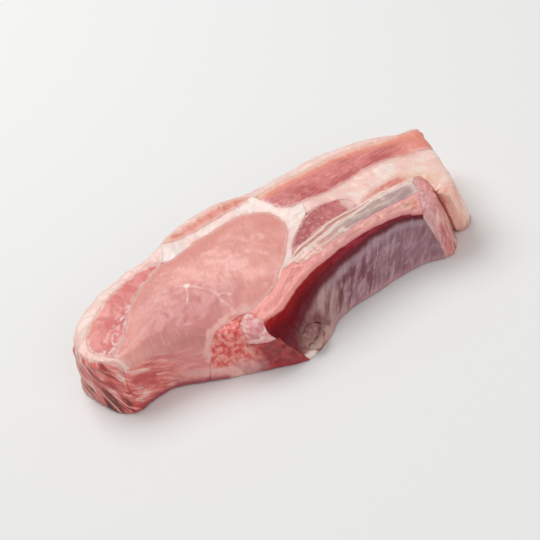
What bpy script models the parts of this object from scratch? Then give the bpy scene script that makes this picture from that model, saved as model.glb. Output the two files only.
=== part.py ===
"""A raw pork rib chop, one rib thick, lying on its cut side.

The chop is a slab sawn across the loin. Its muscles, fat seams and bones run
through it from the lower cut face to the upper one, so each is drawn once, as
an outline on the upper face, and then given its depth. Seams are drawn in
millimetres: x along the chop from the loin to the belly end, y from the bone
side to the back fat. Pieces that share a seam share its points, so they meet
along their whole height with an even gap.
"""
import math

import bmesh
import bpy
from mathutils import Matrix, Vector
from mathutils.geometry import delaunay_2d_cdt

# Driving dimensions, in metres.
LENGTH = 0.1512             # from the loin end to the cut belly end
THICKNESS = 0.025           # one rib and the meat beside it
GAP = 0.0003                # clear space between neighbouring pieces
RIB_DEPTH = 0.013           # how far the rib reaches below the upper face
RIB_CUSHION_DEPTH = 0.006   # thickness of the gristle cap on the chine bone
SEAM_STEP = 0.0034          # spacing of the points along a seam
LATTICE_STEP = 0.0062       # spacing of the points inside a face
EDGE_ROUND = 0.0022         # radius of the upper rim
FOOT_ROUND = 0.0012         # radius of the lower rim

DRAWN_LENGTH = 151.2        # the same length in the drawing of the seams
UNIT = LENGTH / DRAWN_LENGTH
SPACE_BELOW = 2.5 * GAP / THICKNESS     # room under an inlaid piece, as a level
ABOVE = 1.2                 # a level clear of the upper face, for cutters
WALL_LAYERS = 5             # rows of faces up a piece that runs through the chop
INLAY_LAYERS = 2            # and up one let into the upper face
SHARP_ANGLE = math.radians(40)
MOIST = 0.43                # roughness of damp meat

# Points inside the faces. Rings follow the outline: each has a depth, the
# first of its points to keep, and the stride. A lattice fills the rest.
RIM_RINGS = ((0.8, 0, 1), (2.6, 1, 1), (5.0, 0, 2))
RING_MARGIN = 0.5           # least distance of a ring point from a seam
LATTICE_ROWS = range(-10, 8)
LATTICE_COLUMNS = range(-14, 14)
LATTICE_ROW_PITCH = 0.87    # rows of near-equilateral triangles
LATTICE_INSET = 6.5         # the lattice starts this far inside the outline
LATTICE_MARGIN = 2.4        # least distance of a lattice point from a seam
LEAST_TURN = 0.2            # a corner sharper than this is offset as a straight
LEAST_MITRE = 0.4           # and no corner moves further than 1 / 0.4 of an offset
CDT_INSIDE = 1              # triangulate only what lies inside the loop
CDT_MERGE = 1e-6

# The outline of the upper face, anticlockwise. A named point is one where a
# seam ends; SHARP keeps a corner there.
SHARP = True
OUTLINE = (
    (-76.1, -26.0, "side_top"), (-76.0, -33.0), (-73.6, -39.5), (-69.2, -44.0),
    (-64.0, -47.0), (-60.2, -48.3, "side_foot"), (-57.6, -48.0, "tail_end"),
    (-50.0, -45.8), (-42.0, -44.6), (-34.0, -44.8), (-26.5, -46.6, "chine_start"),
    (-20.0, -48.6), (-16.5, -50.0, "cushion_edge"), (-12.0, -51.6),
    (-8.5, -51.6, "chine_corner"), (-4.6, -48.4), (0.6, -44.4), (10.6, -38.4),
    (20.6, -32.5), (31.7, -28.0), (40.6, -24.6), (48.3, -23.4), (55.0, -24.2),
    (59.5, -26.6, "rib_tip"), (63.2, -27.2), (66.2, -24.8),
    (67.2, -17.5, "notch", SHARP), (68.2, -21.2), (71.2, -22.6), (74.0, -20.8),
    (75.0, -16.0, "flap_side"), (74.9, -8.0), (74.4, 0.0), (73.9, 8.5, "belly_low"),
    (73.7, 16.0), (73.5, 22.0, "belly_high"), (72.4, 24.2), (65.0, 24.8),
    (59.4, 26.9), (48.3, 30.6), (40.0, 31.8), (31.7, 31.6), (20.6, 29.0),
    (9.4, 24.6), (1.7, 23.1), (-7.2, 22.8), (-14.0, 22.6), (-25.0, 18.9),
    (-31.0, 14.6), (-36.0, 9.4), (-42.8, 3.9), (-50.0, 0.8), (-56.0, -2.6),
    (-62.8, -7.6), (-68.3, -12.6), (-73.6, -19.0),
)

# The seams inside the outline.
SEAMS = {
    # Round the loin eye, the cap muscle left of it and the fat above it.
    "eye_left": (
        (-37.0, -0.8, "cap_tip"), (-42.5, -6.6), (-47.6, -12.0), (-51.6, -18.0),
        (-54.0, -24.5), (-56.3, -31.0), (-58.7, -37.2), (-62.3, -43.0, "cap_foot"),
    ),
    "cap_back": (
        (-37.0, -0.8, "cap_tip"), (-42.5, -0.8), (-49.4, -3.9), (-56.1, -9.4),
        (-62.8, -16.1), (-67.8, -22.8), (-70.4, -29.4), (-70.9, -34.0),
        (-69.2, -38.5), (-65.8, -41.6), (-62.3, -43.0, "cap_foot"),
    ),
    "tail_inner": ((-62.3, -43.0, "cap_foot"), (-57.6, -48.0, "tail_end")),
    "tail_outer": (
        (-60.2, -48.3, "side_foot"), (-63.7, -45.5), (-67.8, -42.8),
        (-71.6, -39.0), (-73.9, -34.0), (-75.0, -29.5), (-76.1, -26.0, "side_top"),
    ),
    "eye_back": (
        (-37.0, -0.8, "cap_tip"), (-32.8, -0.9), (-27.2, 2.8), (-20.6, 6.1),
        (-12.8, 8.3), (-5.0, 9.8), (1.7, 9.4), (6.1, 7.0), (9.4, 2.8), (11.1, -2.8),
        (11.1, -8.3), (9.4, -15.0), (7.2, -21.7), (5.0, -27.2), (1.2, -34.0, "fat_tip"),
    ),
    "eye_low": (
        (1.2, -34.0, "fat_tip"), (-2.2, -36.5), (-5.8, -38.4), (-9.5, -40.2),
        (-12.5, -41.3, "eye_corner"),
    ),
    "chine_top": (
        (-12.5, -41.3, "eye_corner"), (-16.5, -42.0), (-20.6, -43.6), (-24.2, -45.2),
        (-26.5, -46.6, "chine_start"),
    ),
    "chine_right": (
        (-8.5, -51.6, "chine_corner"), (-7.9, -46.8), (-9.4, -43.2),
        (-12.5, -41.3, "eye_corner"),
    ),
    # The thin strip of lean in the back fat, and where the fat parts.
    "fat_part_left": ((-37.0, -0.8, "cap_tip"), (-34.5, 7.8, "strip_left")),
    "strip_back": (
        (-34.5, 7.8, "strip_left"), (-31.0, 11.2), (-25.5, 14.4), (-16.1, 17.8),
        (-7.2, 19.6), (-1.0, 19.9), (2.2, 17.8, "strip_right"),
    ),
    "strip_low": (
        (-34.5, 7.8, "strip_left"), (-31.0, 7.4), (-25.0, 9.3), (-20.0, 10.6),
        (-13.9, 12.3), (-7.0, 13.9), (-1.5, 14.9), (2.2, 17.8, "strip_right"),
    ),
    "fat_part_middle": ((2.2, 17.8, "strip_right"), (5.0, 16.5, "belly_tip")),
    # Round the belly muscle in the flap.
    "belly_back": (
        (5.0, 16.5, "belly_tip"), (10.6, 18.8), (20.6, 21.6), (31.7, 24.4),
        (42.8, 25.2), (53.9, 23.8), (62.8, 22.2), (73.5, 22.0, "belly_high"),
    ),
    "belly_front": (
        (5.0, 16.5, "belly_tip"), (7.4, 12.4), (10.6, 7.2), (14.6, 3.8),
        (20.2, 2.9, "fat_neck"), (26.0, 2.6), (31.0, 3.2), (37.2, 5.6), (45.0, 7.8),
        (53.9, 8.9), (62.8, 8.9), (73.9, 8.5, "belly_low"),
    ),
    "fat_part_right": ((20.2, 2.9, "fat_neck"), (20.0, -5.2, "inner_back")),
    # The dark inner muscle, the gristle under it and the rib.
    "inner_left": (
        (20.0, -5.2, "inner_back"), (16.4, -8.7), (13.2, -13.4), (10.9, -18.0),
        (10.0, -23.5, "inner_foot"),
    ),
    "inner_top": (
        (20.0, -5.2, "inner_back"), (24.0, -3.5), (29.0, -2.6), (34.0, -3.2),
        (37.4, -5.6), (38.4, -11.0, "inner_end"),
    ),
    "fat_tail": ((1.2, -34.0, "fat_tip"), (5.2, -29.4, "gristle_tip")),
    "gristle_back": (
        (5.2, -29.4, "gristle_tip"), (10.0, -23.5, "inner_foot"), (15.0, -20.8),
        (20.0, -18.5), (25.0, -15.6), (30.0, -13.2), (34.5, -12.0),
        (38.4, -11.0, "inner_end"), (41.2, -10.4, "strand_tip"), (46.5, -8.9),
        (52.0, -8.0), (58.3, -7.3, "strand_end"), (61.6, -6.2, "gristle_end"),
    ),
    "strand_back": (
        (41.2, -10.4, "strand_tip"), (43.4, -7.2), (48.0, -5.0), (53.0, -3.6),
        (57.2, -2.9), (59.4, -4.4), (58.3, -7.3, "strand_end"),
    ),
    "gristle_front": (
        (5.2, -29.4, "gristle_tip"), (9.0, -28.0, "rib_root"), (15.0, -25.2),
        (20.0, -22.9), (25.0, -20.3), (30.0, -17.8), (35.0, -15.7), (40.0, -13.4),
        (45.0, -11.4), (50.0, -10.4), (55.0, -10.0), (60.4, -9.4, "rib_top"),
    ),
    "rib_front": (
        (9.0, -28.0, "rib_root"), (10.6, -31.4), (15.0, -31.0), (20.6, -28.6),
        (30.0, -24.2), (40.0, -20.0), (50.0, -17.8), (57.0, -17.4),
        (61.1, -15.8, "rib_foot"),
    ),
    # The end of the rib and the two flaps of lean beside it.
    "end_left": (
        (61.6, -6.2, "gristle_end"), (60.4, -9.4, "rib_top"), (61.3, -12.6),
        (61.1, -15.8, "rib_foot"), (60.4, -21.5), (59.5, -26.6, "rib_tip"),
    ),
    "end_right": (
        (61.6, -6.2, "gristle_end"), (64.2, -8.0), (65.9, -12.2),
        (67.2, -17.5, "notch"),
    ),
    "flap_top": (
        (67.2, -17.5, "notch"), (70.4, -17.8), (73.0, -17.2), (75.0, -16.0, "flap_side"),
    ),
    "cushion_left": (
        (-12.5, -41.3, "eye_corner"), (-15.6, -44.4), (-16.8, -47.4),
        (-16.5, -50.0, "cushion_edge"),
    ),
}

# Gentle departures from a flat slab with upright walls. Each has a centre, a
# reach, both on the drawing, and what it amounts to in millimetres.
UPPER_SWELL = (
    ((-9.0, -52.0), 16.0, -7.0),    # the sawn chine corner lies low
    ((-28.0, -16.0), 26.0, 0.5),    # the loin eye stands slightly proud
    ((30.0, 27.0), 18.0, -0.8),     # the belly's back fat falls away
)
RIM_EXTRA = (
    ((-38.0, -47.0), 22.0, 3.4),    # the eye is soft along the chine side
    ((30.0, 32.0), 26.0, 1.8),      # so is the fat on the belly
    ((30.0, -30.0), 26.0, -1.0),    # the rib's rim is crisp
)
FOOT_SHIFT = (
    ((-6.0, -50.0), 20.0, (15.0, -3.2)),    # the sawn corner slants outward
    ((-27.0, -46.0), 18.0, (-12.0, 0.0)),   # and its bone widens below
    ((36.0, -30.0), 30.0, (0.5, -5.6)),     # the rib's wall leans out
    ((60.0, -30.0), 12.0, (3.0, 1.5)),      # at the rib's end too
    ((-78.0, -28.0), 22.0, (-3.4, 1.0)),    # the loin end spreads
    ((-74.0, -38.0), 8.0, (0.5, 2.5)),      # with its corner tucked under
    ((-62.0, -50.0), 10.0, (-1.5, -2.0)),
    ((76.0, -10.0), 16.0, (3.5, 4.5)),      # the belly end spreads as well
    ((72.0, -21.0), 7.0, (0.5, 5.0)),       # and its flap is drawn back
)
RIB_HEAD_CENTRE = (6.4, -48.2, 4.9)     # on the drawing, and its height
RIB_HEAD_RADII = (6.0, 3.6, 4.0)
RIB_HEAD_TURN = math.radians(37)

# The hollow under the rib's rim: where it is on the drawing and how far it
# reaches, how deep it is and which way, at which level and how tall, and how
# far into the meat the walls follow it.
GROOVE_CENTRE = (36.0, -27.0)
GROOVE_REACH = 34.0
GROOVE_DEPTH = 2.2
GROOVE_WAY = (-0.3, 0.95)
GROOVE_LEVEL = 0.8
GROOVE_HALF = 0.13
GROOVE_FADE = 4.0
GROOVE_SIDE = -20.0         # only the rib's side of the chop has it


class Seam:
    """A smooth line through its stations, sampled at an even spacing."""

    def __init__(self, stations, closed=False):
        self.closed = closed
        self.points = [Vector(station[:2]) for station in stations]
        self.sharp = [len(station) == 4 for station in stations]
        self.places = {s[2]: i for i, s in enumerate(stations) if len(s) > 2}
        count = len(stations)
        spans = count if closed else count - 1
        self.spans = [self.sample(i, (i + 1) % count) for i in range(spans)]

    def tangent(self, index, towards):
        """Direction at a station; a sharp one has a direction for each side."""
        last = len(self.points) - 1
        before, after = index - 1, (index + 1) % (last + 1)
        open_end = not self.closed and index in (0, last)
        if open_end or self.sharp[index]:
            return (self.points[towards] - self.points[index]).normalized()
        chord_in = (self.points[index] - self.points[before]).normalized()
        chord_out = (self.points[after] - self.points[index]).normalized()
        return (chord_in + chord_out).normalized()

    def sample(self, start, end):
        """Points from one station up to the next, which is left out."""
        first, second = self.points[start], self.points[end]
        chord = (second - first).length
        leave = self.tangent(start, end)
        arrive = self.tangent(end, start)
        if leave.dot(second - first) < 0:
            leave = -leave
        if arrive.dot(second - first) < 0:
            arrive = -arrive
        steps = max(1, round(chord * UNIT / SEAM_STEP))
        samples = []
        for step in range(steps):
            t = step / steps
            near = 2 * t ** 3 - 3 * t ** 2 + 1
            point = first * near + second * (1 - near)
            point += leave * chord * (t ** 3 - 2 * t ** 2 + t)
            point += arrive * chord * (t ** 3 - t ** 2)
            samples.append(point)
        return samples

    def walk(self, start, end):
        """The samples between two named stations, without the last one."""
        first, last = self.places[start], self.places[end]
        if first < last or self.closed:
            count = (last - first) % len(self.points)
            order = [(first + i) % len(self.points) for i in range(count)]
            return [point for index in order for point in self.spans[index]]
        forward = [p for index in range(last, first) for p in self.spans[index]]
        return [self.points[first]] + forward[:0:-1]


outline = Seam(OUTLINE, closed=True)
seams = {name: Seam(stations) for name, stations in SEAMS.items()}
rim = [point for span in outline.spans for point in span]


def region(*walks):
    """One closed loop out of stretches of seams, each (seam, start, end)."""
    loop = []
    for seam, start, end in walks:
        line = outline if seam == "outline" else seams[seam]
        loop += line.walk(start, end)
    area = sum(a.cross(b) for a, b in zip(loop, loop[1:] + loop[:1]))
    return loop if area > 0 else loop[::-1]


def offset(loop, inward):
    """The loop moved inward by a distance, with its corners kept short."""
    moved = []
    for i, point in enumerate(loop):
        before = (point - loop[i - 1]).normalized()
        after = (loop[(i + 1) % len(loop)] - point).normalized()
        normal = Vector((-before.y - after.y, before.x + after.x))
        if normal.length < LEAST_TURN:
            normal = Vector((-before.y, before.x))
        normal.normalize()
        reach = max(LEAST_MITRE, normal.dot(Vector((-before.y, before.x))))
        moved.append(point + normal * (inward / reach))
    return moved


def distance_to(loop, point):
    """Shortest distance from a point to a closed loop."""
    nearest = math.inf
    for start, end in zip(loop, loop[1:] + loop[:1]):
        along = end - start
        t = max(0.0, min(1.0, (point - start).dot(along) / along.length_squared))
        nearest = min(nearest, (point - start - along * t).length)
    return nearest


def inside(loop, point):
    """Whether a point lies within a closed loop."""
    crossings = 0
    for start, end in zip(loop, loop[1:] + loop[:1]):
        if (start.y > point.y) != (end.y > point.y):
            x = start.x + (point.y - start.y) * (end.x - start.x) / (end.y - start.y)
            crossings += x > point.x
    return crossings % 2 == 1


def face_points():
    """Points shared by all the faces: rings inside the rim, then a lattice."""
    points = []
    for depth, first, stride in RIM_RINGS:
        points += [(p, RING_MARGIN) for p in offset(rim, depth)[first::stride]]
    step = LATTICE_STEP / UNIT
    for row in LATTICE_ROWS:
        for column in LATTICE_COLUMNS:
            point = Vector(((column + 0.5 * (row % 2)) * step, row * step * LATTICE_ROW_PITCH))
            if inside(rim, point) and distance_to(rim, point) > LATTICE_INSET:
                points.append((point, LATTICE_MARGIN))
    return points


FACE_POINTS = face_points()


def bump(point, centre, reach):
    """A soft hill, one at its centre and nothing well beyond its reach."""
    return math.exp(-((point - Vector(centre)).length / reach) ** 2)


def rounding(depth, radius):
    """How far a rim of this radius falls away at a depth inside the wall."""
    if depth >= radius:
        return 0.0
    return radius - math.sqrt(radius ** 2 - (radius - depth) ** 2)


def place(point, level):
    """From the drawing to the chop: level 0 is its lower face, 1 its upper."""
    least = GAP / 2 / UNIT
    depth = max(least, distance_to(rim, point)) if inside(rim, point) else least
    upper = THICKNESS / UNIT
    upper += sum(amount * bump(point, centre, reach) for centre, reach, amount in UPPER_SWELL)
    radius = EDGE_ROUND / UNIT
    radius += sum(amount * bump(point, centre, reach) for centre, reach, amount in RIM_EXTRA)
    upper -= rounding(depth, radius)
    lower = rounding(depth, FOOT_ROUND / UNIT)
    shift = Vector((0.0, 0.0))
    for centre, reach, amount in FOOT_SHIFT:
        shift += Vector(amount) * (bump(point, centre, reach) * (1.0 - level))
    near_rib = bump(point, GROOVE_CENTRE, GROOVE_REACH) * max(0.0, 1.0 - depth / GROOVE_FADE)
    hollow = math.exp(-((level - GROOVE_LEVEL) / GROOVE_HALF) ** 2)
    if point.y < GROOVE_SIDE:
        shift += Vector(GROOVE_WAY) * (GROOVE_DEPTH * near_rib * hollow)
    flat = point + shift
    return Vector((flat.x, flat.y, lower + (upper - lower) * level)) * UNIT


def slab(name, loop, inset=GAP / 2, low=0.0, high=1.0, layers=WALL_LAYERS):
    """A piece of the chop: a loop on the drawing, given depth between two levels."""
    edge = offset(loop, inset / UNIT)
    inner = [p for p, margin in FACE_POINTS
             if inside(edge, p) and distance_to(edge, p) > margin]
    points, _, faces, *_ = delaunay_2d_cdt(
        edge + inner, [], [list(range(len(edge)))], CDT_INSIDE, CDT_MERGE)
    mesh = bmesh.new()
    verts = [mesh.verts.new((p.x, p.y, low)) for p in points]
    cap = [mesh.faces.new([verts[i] for i in face]) for face in faces]
    for layer in range(layers):
        grown = bmesh.ops.extrude_face_region(mesh, geom=cap)
        if layer:
            bmesh.ops.delete(mesh, geom=cap, context="FACES")
        moved = [g for g in grown["geom"] if isinstance(g, bmesh.types.BMVert)]
        cap = [g for g in grown["geom"] if isinstance(g, bmesh.types.BMFace)]
        bmesh.ops.translate(mesh, verts=moved, vec=(0, 0, (high - low) / layers))
    for vert in mesh.verts:
        vert.co = place(Vector(vert.co[:2]), vert.co.z)
    bmesh.ops.recalc_face_normals(mesh, faces=mesh.faces)
    return add_object(name, mesh)


def add_object(name, mesh):
    """Turn a finished bmesh into a smooth-shaded object in the scene."""
    data = bpy.data.meshes.new(name)
    mesh.to_mesh(data)
    mesh.free()
    data.shade_smooth()
    data.set_sharp_from_angle(angle=SHARP_ANGLE)
    piece = bpy.data.objects.new(name, data)
    bpy.context.collection.objects.link(piece)
    return piece


def material(piece, colour):
    """Give a piece its own material."""
    look = bpy.data.materials.new(piece.name)
    look.use_nodes = True
    shader = look.node_tree.nodes["Principled BSDF"]
    shader.inputs["Base Color"].default_value = (*colour, 1.0)
    shader.inputs["Roughness"].default_value = MOIST
    shader.inputs["Metallic"].default_value = 0.0
    look.diffuse_color = (*colour, 1.0)
    piece.data.materials.append(look)


def cut(piece, cutter):
    """Take a cutter's shape out of a piece, and leave the cutter as a guide."""
    cutter.hide_render = True
    cutter.display_type = "WIRE"
    difference = piece.modifiers.new("cut", "BOOLEAN")
    difference.operation = "DIFFERENCE"
    difference.solver = "EXACT"
    difference.object = cutter


# Colours, linear light.
LEAN_PALE = (0.62, 0.27, 0.22)
LEAN_RED = (0.50, 0.12, 0.09)
LEAN_DARK = (0.30, 0.06, 0.06)
FAT = (0.83, 0.66, 0.58)
GRISTLE = (0.72, 0.45, 0.36)
BONE = (0.36, 0.29, 0.30)
MARROW = (0.36, 0.03, 0.03)


def build_muscles():
    """The lean pieces that reach from face to face."""
    eye = slab("loin_eye", region(
        ("eye_left", "cap_tip", "cap_foot"), ("tail_inner", "cap_foot", "tail_end"),
        ("outline", "tail_end", "chine_start"), ("chine_top", "chine_start", "eye_corner"),
        ("eye_low", "eye_corner", "fat_tip"), ("eye_back", "fat_tip", "cap_tip")))
    material(eye, LEAN_PALE)
    cap = slab("cap_lean", region(
        ("cap_back", "cap_tip", "cap_foot"), ("eye_left", "cap_foot", "cap_tip")))
    material(cap, LEAN_RED)
    strip = slab("strip_lean", region(
        ("strip_low", "strip_left", "strip_right"), ("strip_back", "strip_right", "strip_left")))
    material(strip, LEAN_RED)
    side = slab("side_lean", region(
        ("outline", "side_top", "side_foot"), ("tail_outer", "side_foot", "side_top")))
    material(side, LEAN_DARK)
    belly = slab("belly_lean", region(
        ("belly_front", "belly_tip", "belly_low"), ("outline", "belly_low", "belly_high"),
        ("belly_back", "belly_high", "belly_tip")))
    material(belly, LEAN_RED)
    inner = slab("inner_lean", region(
        ("inner_left", "inner_back", "inner_foot"), ("gristle_back", "inner_foot", "inner_end"),
        ("inner_top", "inner_end", "inner_back")))
    material(inner, LEAN_DARK)
    strand = slab("strand_lean", region(
        ("gristle_back", "strand_tip", "strand_end"), ("strand_back", "strand_end", "strand_tip")))
    material(strand, LEAN_RED)
    end = slab("end_lean", region(
        ("end_left", "gristle_end", "rib_tip"), ("outline", "rib_tip", "notch"),
        ("end_right", "notch", "gristle_end")))
    material(end, LEAN_PALE)
    flap = slab("flap_lean", region(
        ("outline", "notch", "flap_side"), ("flap_top", "flap_side", "notch")))
    material(flap, LEAN_RED)


def build_fat():
    """The fat: along the back, round the loin eye and across the flap."""
    back = slab("back_fat", region(
        ("fat_part_left", "cap_tip", "strip_left"), ("strip_back", "strip_left", "strip_right"),
        ("fat_part_middle", "strip_right", "belly_tip"), ("belly_back", "belly_tip", "belly_high"),
        ("outline", "belly_high", "side_top"), ("tail_outer", "side_top", "side_foot"),
        ("outline", "side_foot", "tail_end"), ("tail_inner", "tail_end", "cap_foot"),
        ("cap_back", "cap_foot", "cap_tip")))
    material(back, FAT)
    seam = slab("seam_fat", region(
        ("eye_back", "cap_tip", "fat_tip"), ("fat_tail", "fat_tip", "gristle_tip"),
        ("gristle_back", "gristle_tip", "inner_foot"), ("inner_left", "inner_foot", "inner_back"),
        ("fat_part_right", "inner_back", "fat_neck"), ("belly_front", "fat_neck", "belly_tip"),
        ("fat_part_middle", "belly_tip", "strip_right"), ("strip_low", "strip_right", "strip_left"),
        ("fat_part_left", "strip_left", "cap_tip")))
    material(seam, FAT)
    flap = slab("flap_fat", region(
        ("inner_top", "inner_back", "inner_end"), ("gristle_back", "inner_end", "strand_tip"),
        ("strand_back", "strand_tip", "strand_end"), ("gristle_back", "strand_end", "gristle_end"),
        ("end_right", "gristle_end", "notch"), ("flap_top", "notch", "flap_side"),
        ("outline", "flap_side", "belly_low"), ("belly_front", "belly_low", "fat_neck"),
        ("fat_part_right", "fat_neck", "inner_back")))
    material(flap, FAT)
    gristle = slab("gristle_band", region(
        ("gristle_front", "gristle_tip", "rib_top"), ("end_left", "rib_top", "gristle_end"),
        ("gristle_back", "gristle_end", "gristle_tip")))
    material(gristle, GRISTLE)


def build_rib():
    """The rib, level with the upper face, and the lean that wraps it."""
    loop = region(
        ("rib_front", "rib_root", "rib_foot"), ("end_left", "rib_foot", "rib_top"),
        ("gristle_front", "rib_top", "rib_root"))
    floor = 1.0 - RIB_DEPTH / THICKNESS
    rib = slab("rib_bone", loop, low=floor, layers=INLAY_LAYERS)
    material(rib, BONE)
    wall = slab("rib_lean", region(
        ("outline", "chine_corner", "rib_tip"), ("end_left", "rib_tip", "rib_top"),
        ("gristle_front", "rib_top", "gristle_tip"), ("fat_tail", "gristle_tip", "fat_tip"),
        ("eye_low", "fat_tip", "eye_corner"), ("chine_right", "eye_corner", "chine_corner")))
    material(wall, LEAN_DARK)
    cutter = slab("rib_space", loop, -GAP, floor - SPACE_BELOW, ABOVE)
    cut(wall, cutter)
    return wall


def build_chine():
    """The sawn chine bone at the corner, with its cap of gristle."""
    loop = region(
        ("outline", "cushion_edge", "chine_corner"), ("chine_right", "chine_corner", "eye_corner"),
        ("cushion_left", "eye_corner", "cushion_edge"))
    floor = 1.0 - RIB_CUSHION_DEPTH / THICKNESS
    cushion = slab("chine_gristle", loop, low=floor, layers=INLAY_LAYERS)
    material(cushion, GRISTLE)
    bone = slab("chine_bone", region(
        ("outline", "chine_start", "chine_corner"), ("chine_right", "chine_corner", "eye_corner"),
        ("chine_top", "eye_corner", "chine_start")))
    material(bone, MARROW)
    cutter = slab("chine_space", loop, -GAP, floor - SPACE_BELOW, ABOVE)
    cut(bone, cutter)


def build_rib_head(wall):
    """The rib's pale head, which bulges low on the wall beside the chine."""
    turn = Matrix.Translation(Vector(RIB_HEAD_CENTRE) * UNIT) @ Matrix.Rotation(RIB_HEAD_TURN, 4, "Z")
    for name, extra in (("rib_head", 0.0), ("rib_head_space", GAP)):
        mesh = bmesh.new()
        bmesh.ops.create_uvsphere(mesh, u_segments=20, v_segments=12, radius=1.0)
        size = Matrix.Diagonal(Vector(RIB_HEAD_RADII) * UNIT + Vector((extra,) * 3))
        bmesh.ops.transform(mesh, matrix=turn @ size.to_4x4(), verts=mesh.verts)
        head = add_object(name, mesh)
        if extra:
            cut(wall, head)
        else:
            material(head, FAT)


def stand_on_origin():
    """Move everything so that the origin is under the middle of the chop."""
    solids = [o for o in bpy.context.scene.objects if not o.hide_render]
    corners = [v.co for o in solids for v in o.data.vertices]
    low = [min(c[axis] for c in corners) for axis in range(2)]
    high = [max(c[axis] for c in corners) for axis in range(2)]
    centre = Vector(((low[0] + high[0]) / 2, (low[1] + high[1]) / 2, 0.0))
    for piece in bpy.context.scene.objects:
        piece.data.transform(Matrix.Translation(-centre))


for leftover in list(bpy.data.objects):
    bpy.data.objects.remove(leftover)
build_muscles()
build_fat()
rib_wall = build_rib()
build_chine()
build_rib_head(rib_wall)
stand_on_origin()
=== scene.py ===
# %% [markdown]
# # A raw pork rib chop
#
# This notebook dresses a pork rib chop: a slab sawn across a pig's loin, lying
# on its cut side. The solid model comes first and stays as it is. It holds one
# closed solid for every muscle, seam of fat, bone and bit of gristle, each
# running through the chop. Here each of them gets a fine surface and a finish.

# %% The frame
import math
import bmesh
import bpy
from mathutils import Matrix, Vector, kdtree, noise


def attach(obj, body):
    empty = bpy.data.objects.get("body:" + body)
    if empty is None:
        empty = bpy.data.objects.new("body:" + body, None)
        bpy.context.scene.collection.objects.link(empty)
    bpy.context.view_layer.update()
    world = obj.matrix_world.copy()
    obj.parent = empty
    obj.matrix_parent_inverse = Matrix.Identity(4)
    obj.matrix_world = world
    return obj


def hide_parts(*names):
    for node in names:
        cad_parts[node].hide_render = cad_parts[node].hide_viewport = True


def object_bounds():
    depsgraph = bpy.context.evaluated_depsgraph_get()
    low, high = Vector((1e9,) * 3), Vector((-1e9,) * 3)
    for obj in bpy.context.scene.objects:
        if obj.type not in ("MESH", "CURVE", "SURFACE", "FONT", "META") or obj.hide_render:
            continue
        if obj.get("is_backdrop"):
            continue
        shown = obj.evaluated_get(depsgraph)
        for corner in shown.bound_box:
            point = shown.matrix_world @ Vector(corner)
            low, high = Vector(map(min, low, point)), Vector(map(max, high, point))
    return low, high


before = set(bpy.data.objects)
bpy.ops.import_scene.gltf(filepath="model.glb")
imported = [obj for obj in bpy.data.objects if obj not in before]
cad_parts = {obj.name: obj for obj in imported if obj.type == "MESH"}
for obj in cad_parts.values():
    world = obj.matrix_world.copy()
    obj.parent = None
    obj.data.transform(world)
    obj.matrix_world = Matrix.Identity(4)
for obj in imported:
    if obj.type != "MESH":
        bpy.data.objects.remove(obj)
CAD_LOW, CAD_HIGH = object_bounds()
MM = 0.001
print("solids:", len(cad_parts), "box in mm:", [round(c / MM, 1) for c in CAD_HIGH - CAD_LOW])

# %% [markdown]
# ## The stage
#
# The camera looks down on the chop at about 38 degrees with a long lens, from
# the rib side. It is rolled, so that the chop climbs to the right. It could be
# given three angles, but a direction to look along and a roll about it are
# easier to read, and `to_track_quat` turns the first into a rotation.

# %% Camera
CAMERA_ELEVATION = math.radians(37.8)
CAMERA_ROLL = math.radians(-20)
CAMERA_DISTANCE = 0.600
CAMERA_LENS = 107.5
NEAREST = 0.01
AIM = Vector((0.0007, -0.0023, 0.0))     # the middle of what shows, from the box's middle

middle = (CAD_LOW + CAD_HIGH) / 2 + AIM
back = Vector((0, -math.cos(CAMERA_ELEVATION), math.sin(CAMERA_ELEVATION)))
camera = bpy.data.objects.new("camera", bpy.data.cameras.new("camera"))
bpy.context.collection.objects.link(camera)
camera.data.lens = CAMERA_LENS
camera.data.clip_start = NEAREST
facing = (-back).to_track_quat("-Z", "Y").to_matrix() @ Matrix.Rotation(CAMERA_ROLL, 3, "Z")
camera.matrix_world = Matrix.Translation(middle + back * CAMERA_DISTANCE) @ facing.to_4x4()
bpy.context.scene.camera = camera
print("camera at", [round(c, 3) for c in camera.location])

# %% [markdown]
# ## Light
#
# A large soft lamp hangs over the back of the chop, as a window would, and a
# weaker one fills the walls that face the camera. A sun would be simpler, but
# its hard shadows would swallow the hollow under the rib. Plain white light
# keeps the pinks honest.


# %% Lamps
def lamp(name, place, size, power):
    """A square soft lamp that faces the chop."""
    data = bpy.data.lights.new(name, "AREA")
    data.shape = "SQUARE"
    data.size = size
    data.energy = power
    light = bpy.data.objects.new(name, data)
    bpy.context.collection.objects.link(light)
    aim = (middle - Vector(place)).to_track_quat("-Z", "Y")
    light.matrix_world = Matrix.Translation(place) @ aim.to_matrix().to_4x4()


lamp("window", place=(-0.25, 0.45, 0.85), size=0.7, power=6.2)
lamp("fill", place=(0.35, -0.7, 0.6), size=0.8, power=2.9)

# %% [markdown]
# ## Floor and sky
#
# A studio sweep is a roll of paper that curves up behind the object. The camera
# looks down here, so a flat square far larger than the chop does the same. The
# sky is an even white, weak enough to leave the lamps their shadows.

# %% Floor and sky
FLOOR_SIZE = 8.0
SKY_STRENGTH = 0.33
WHITE = (1.0, 1.0, 1.0, 1.0)

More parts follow.
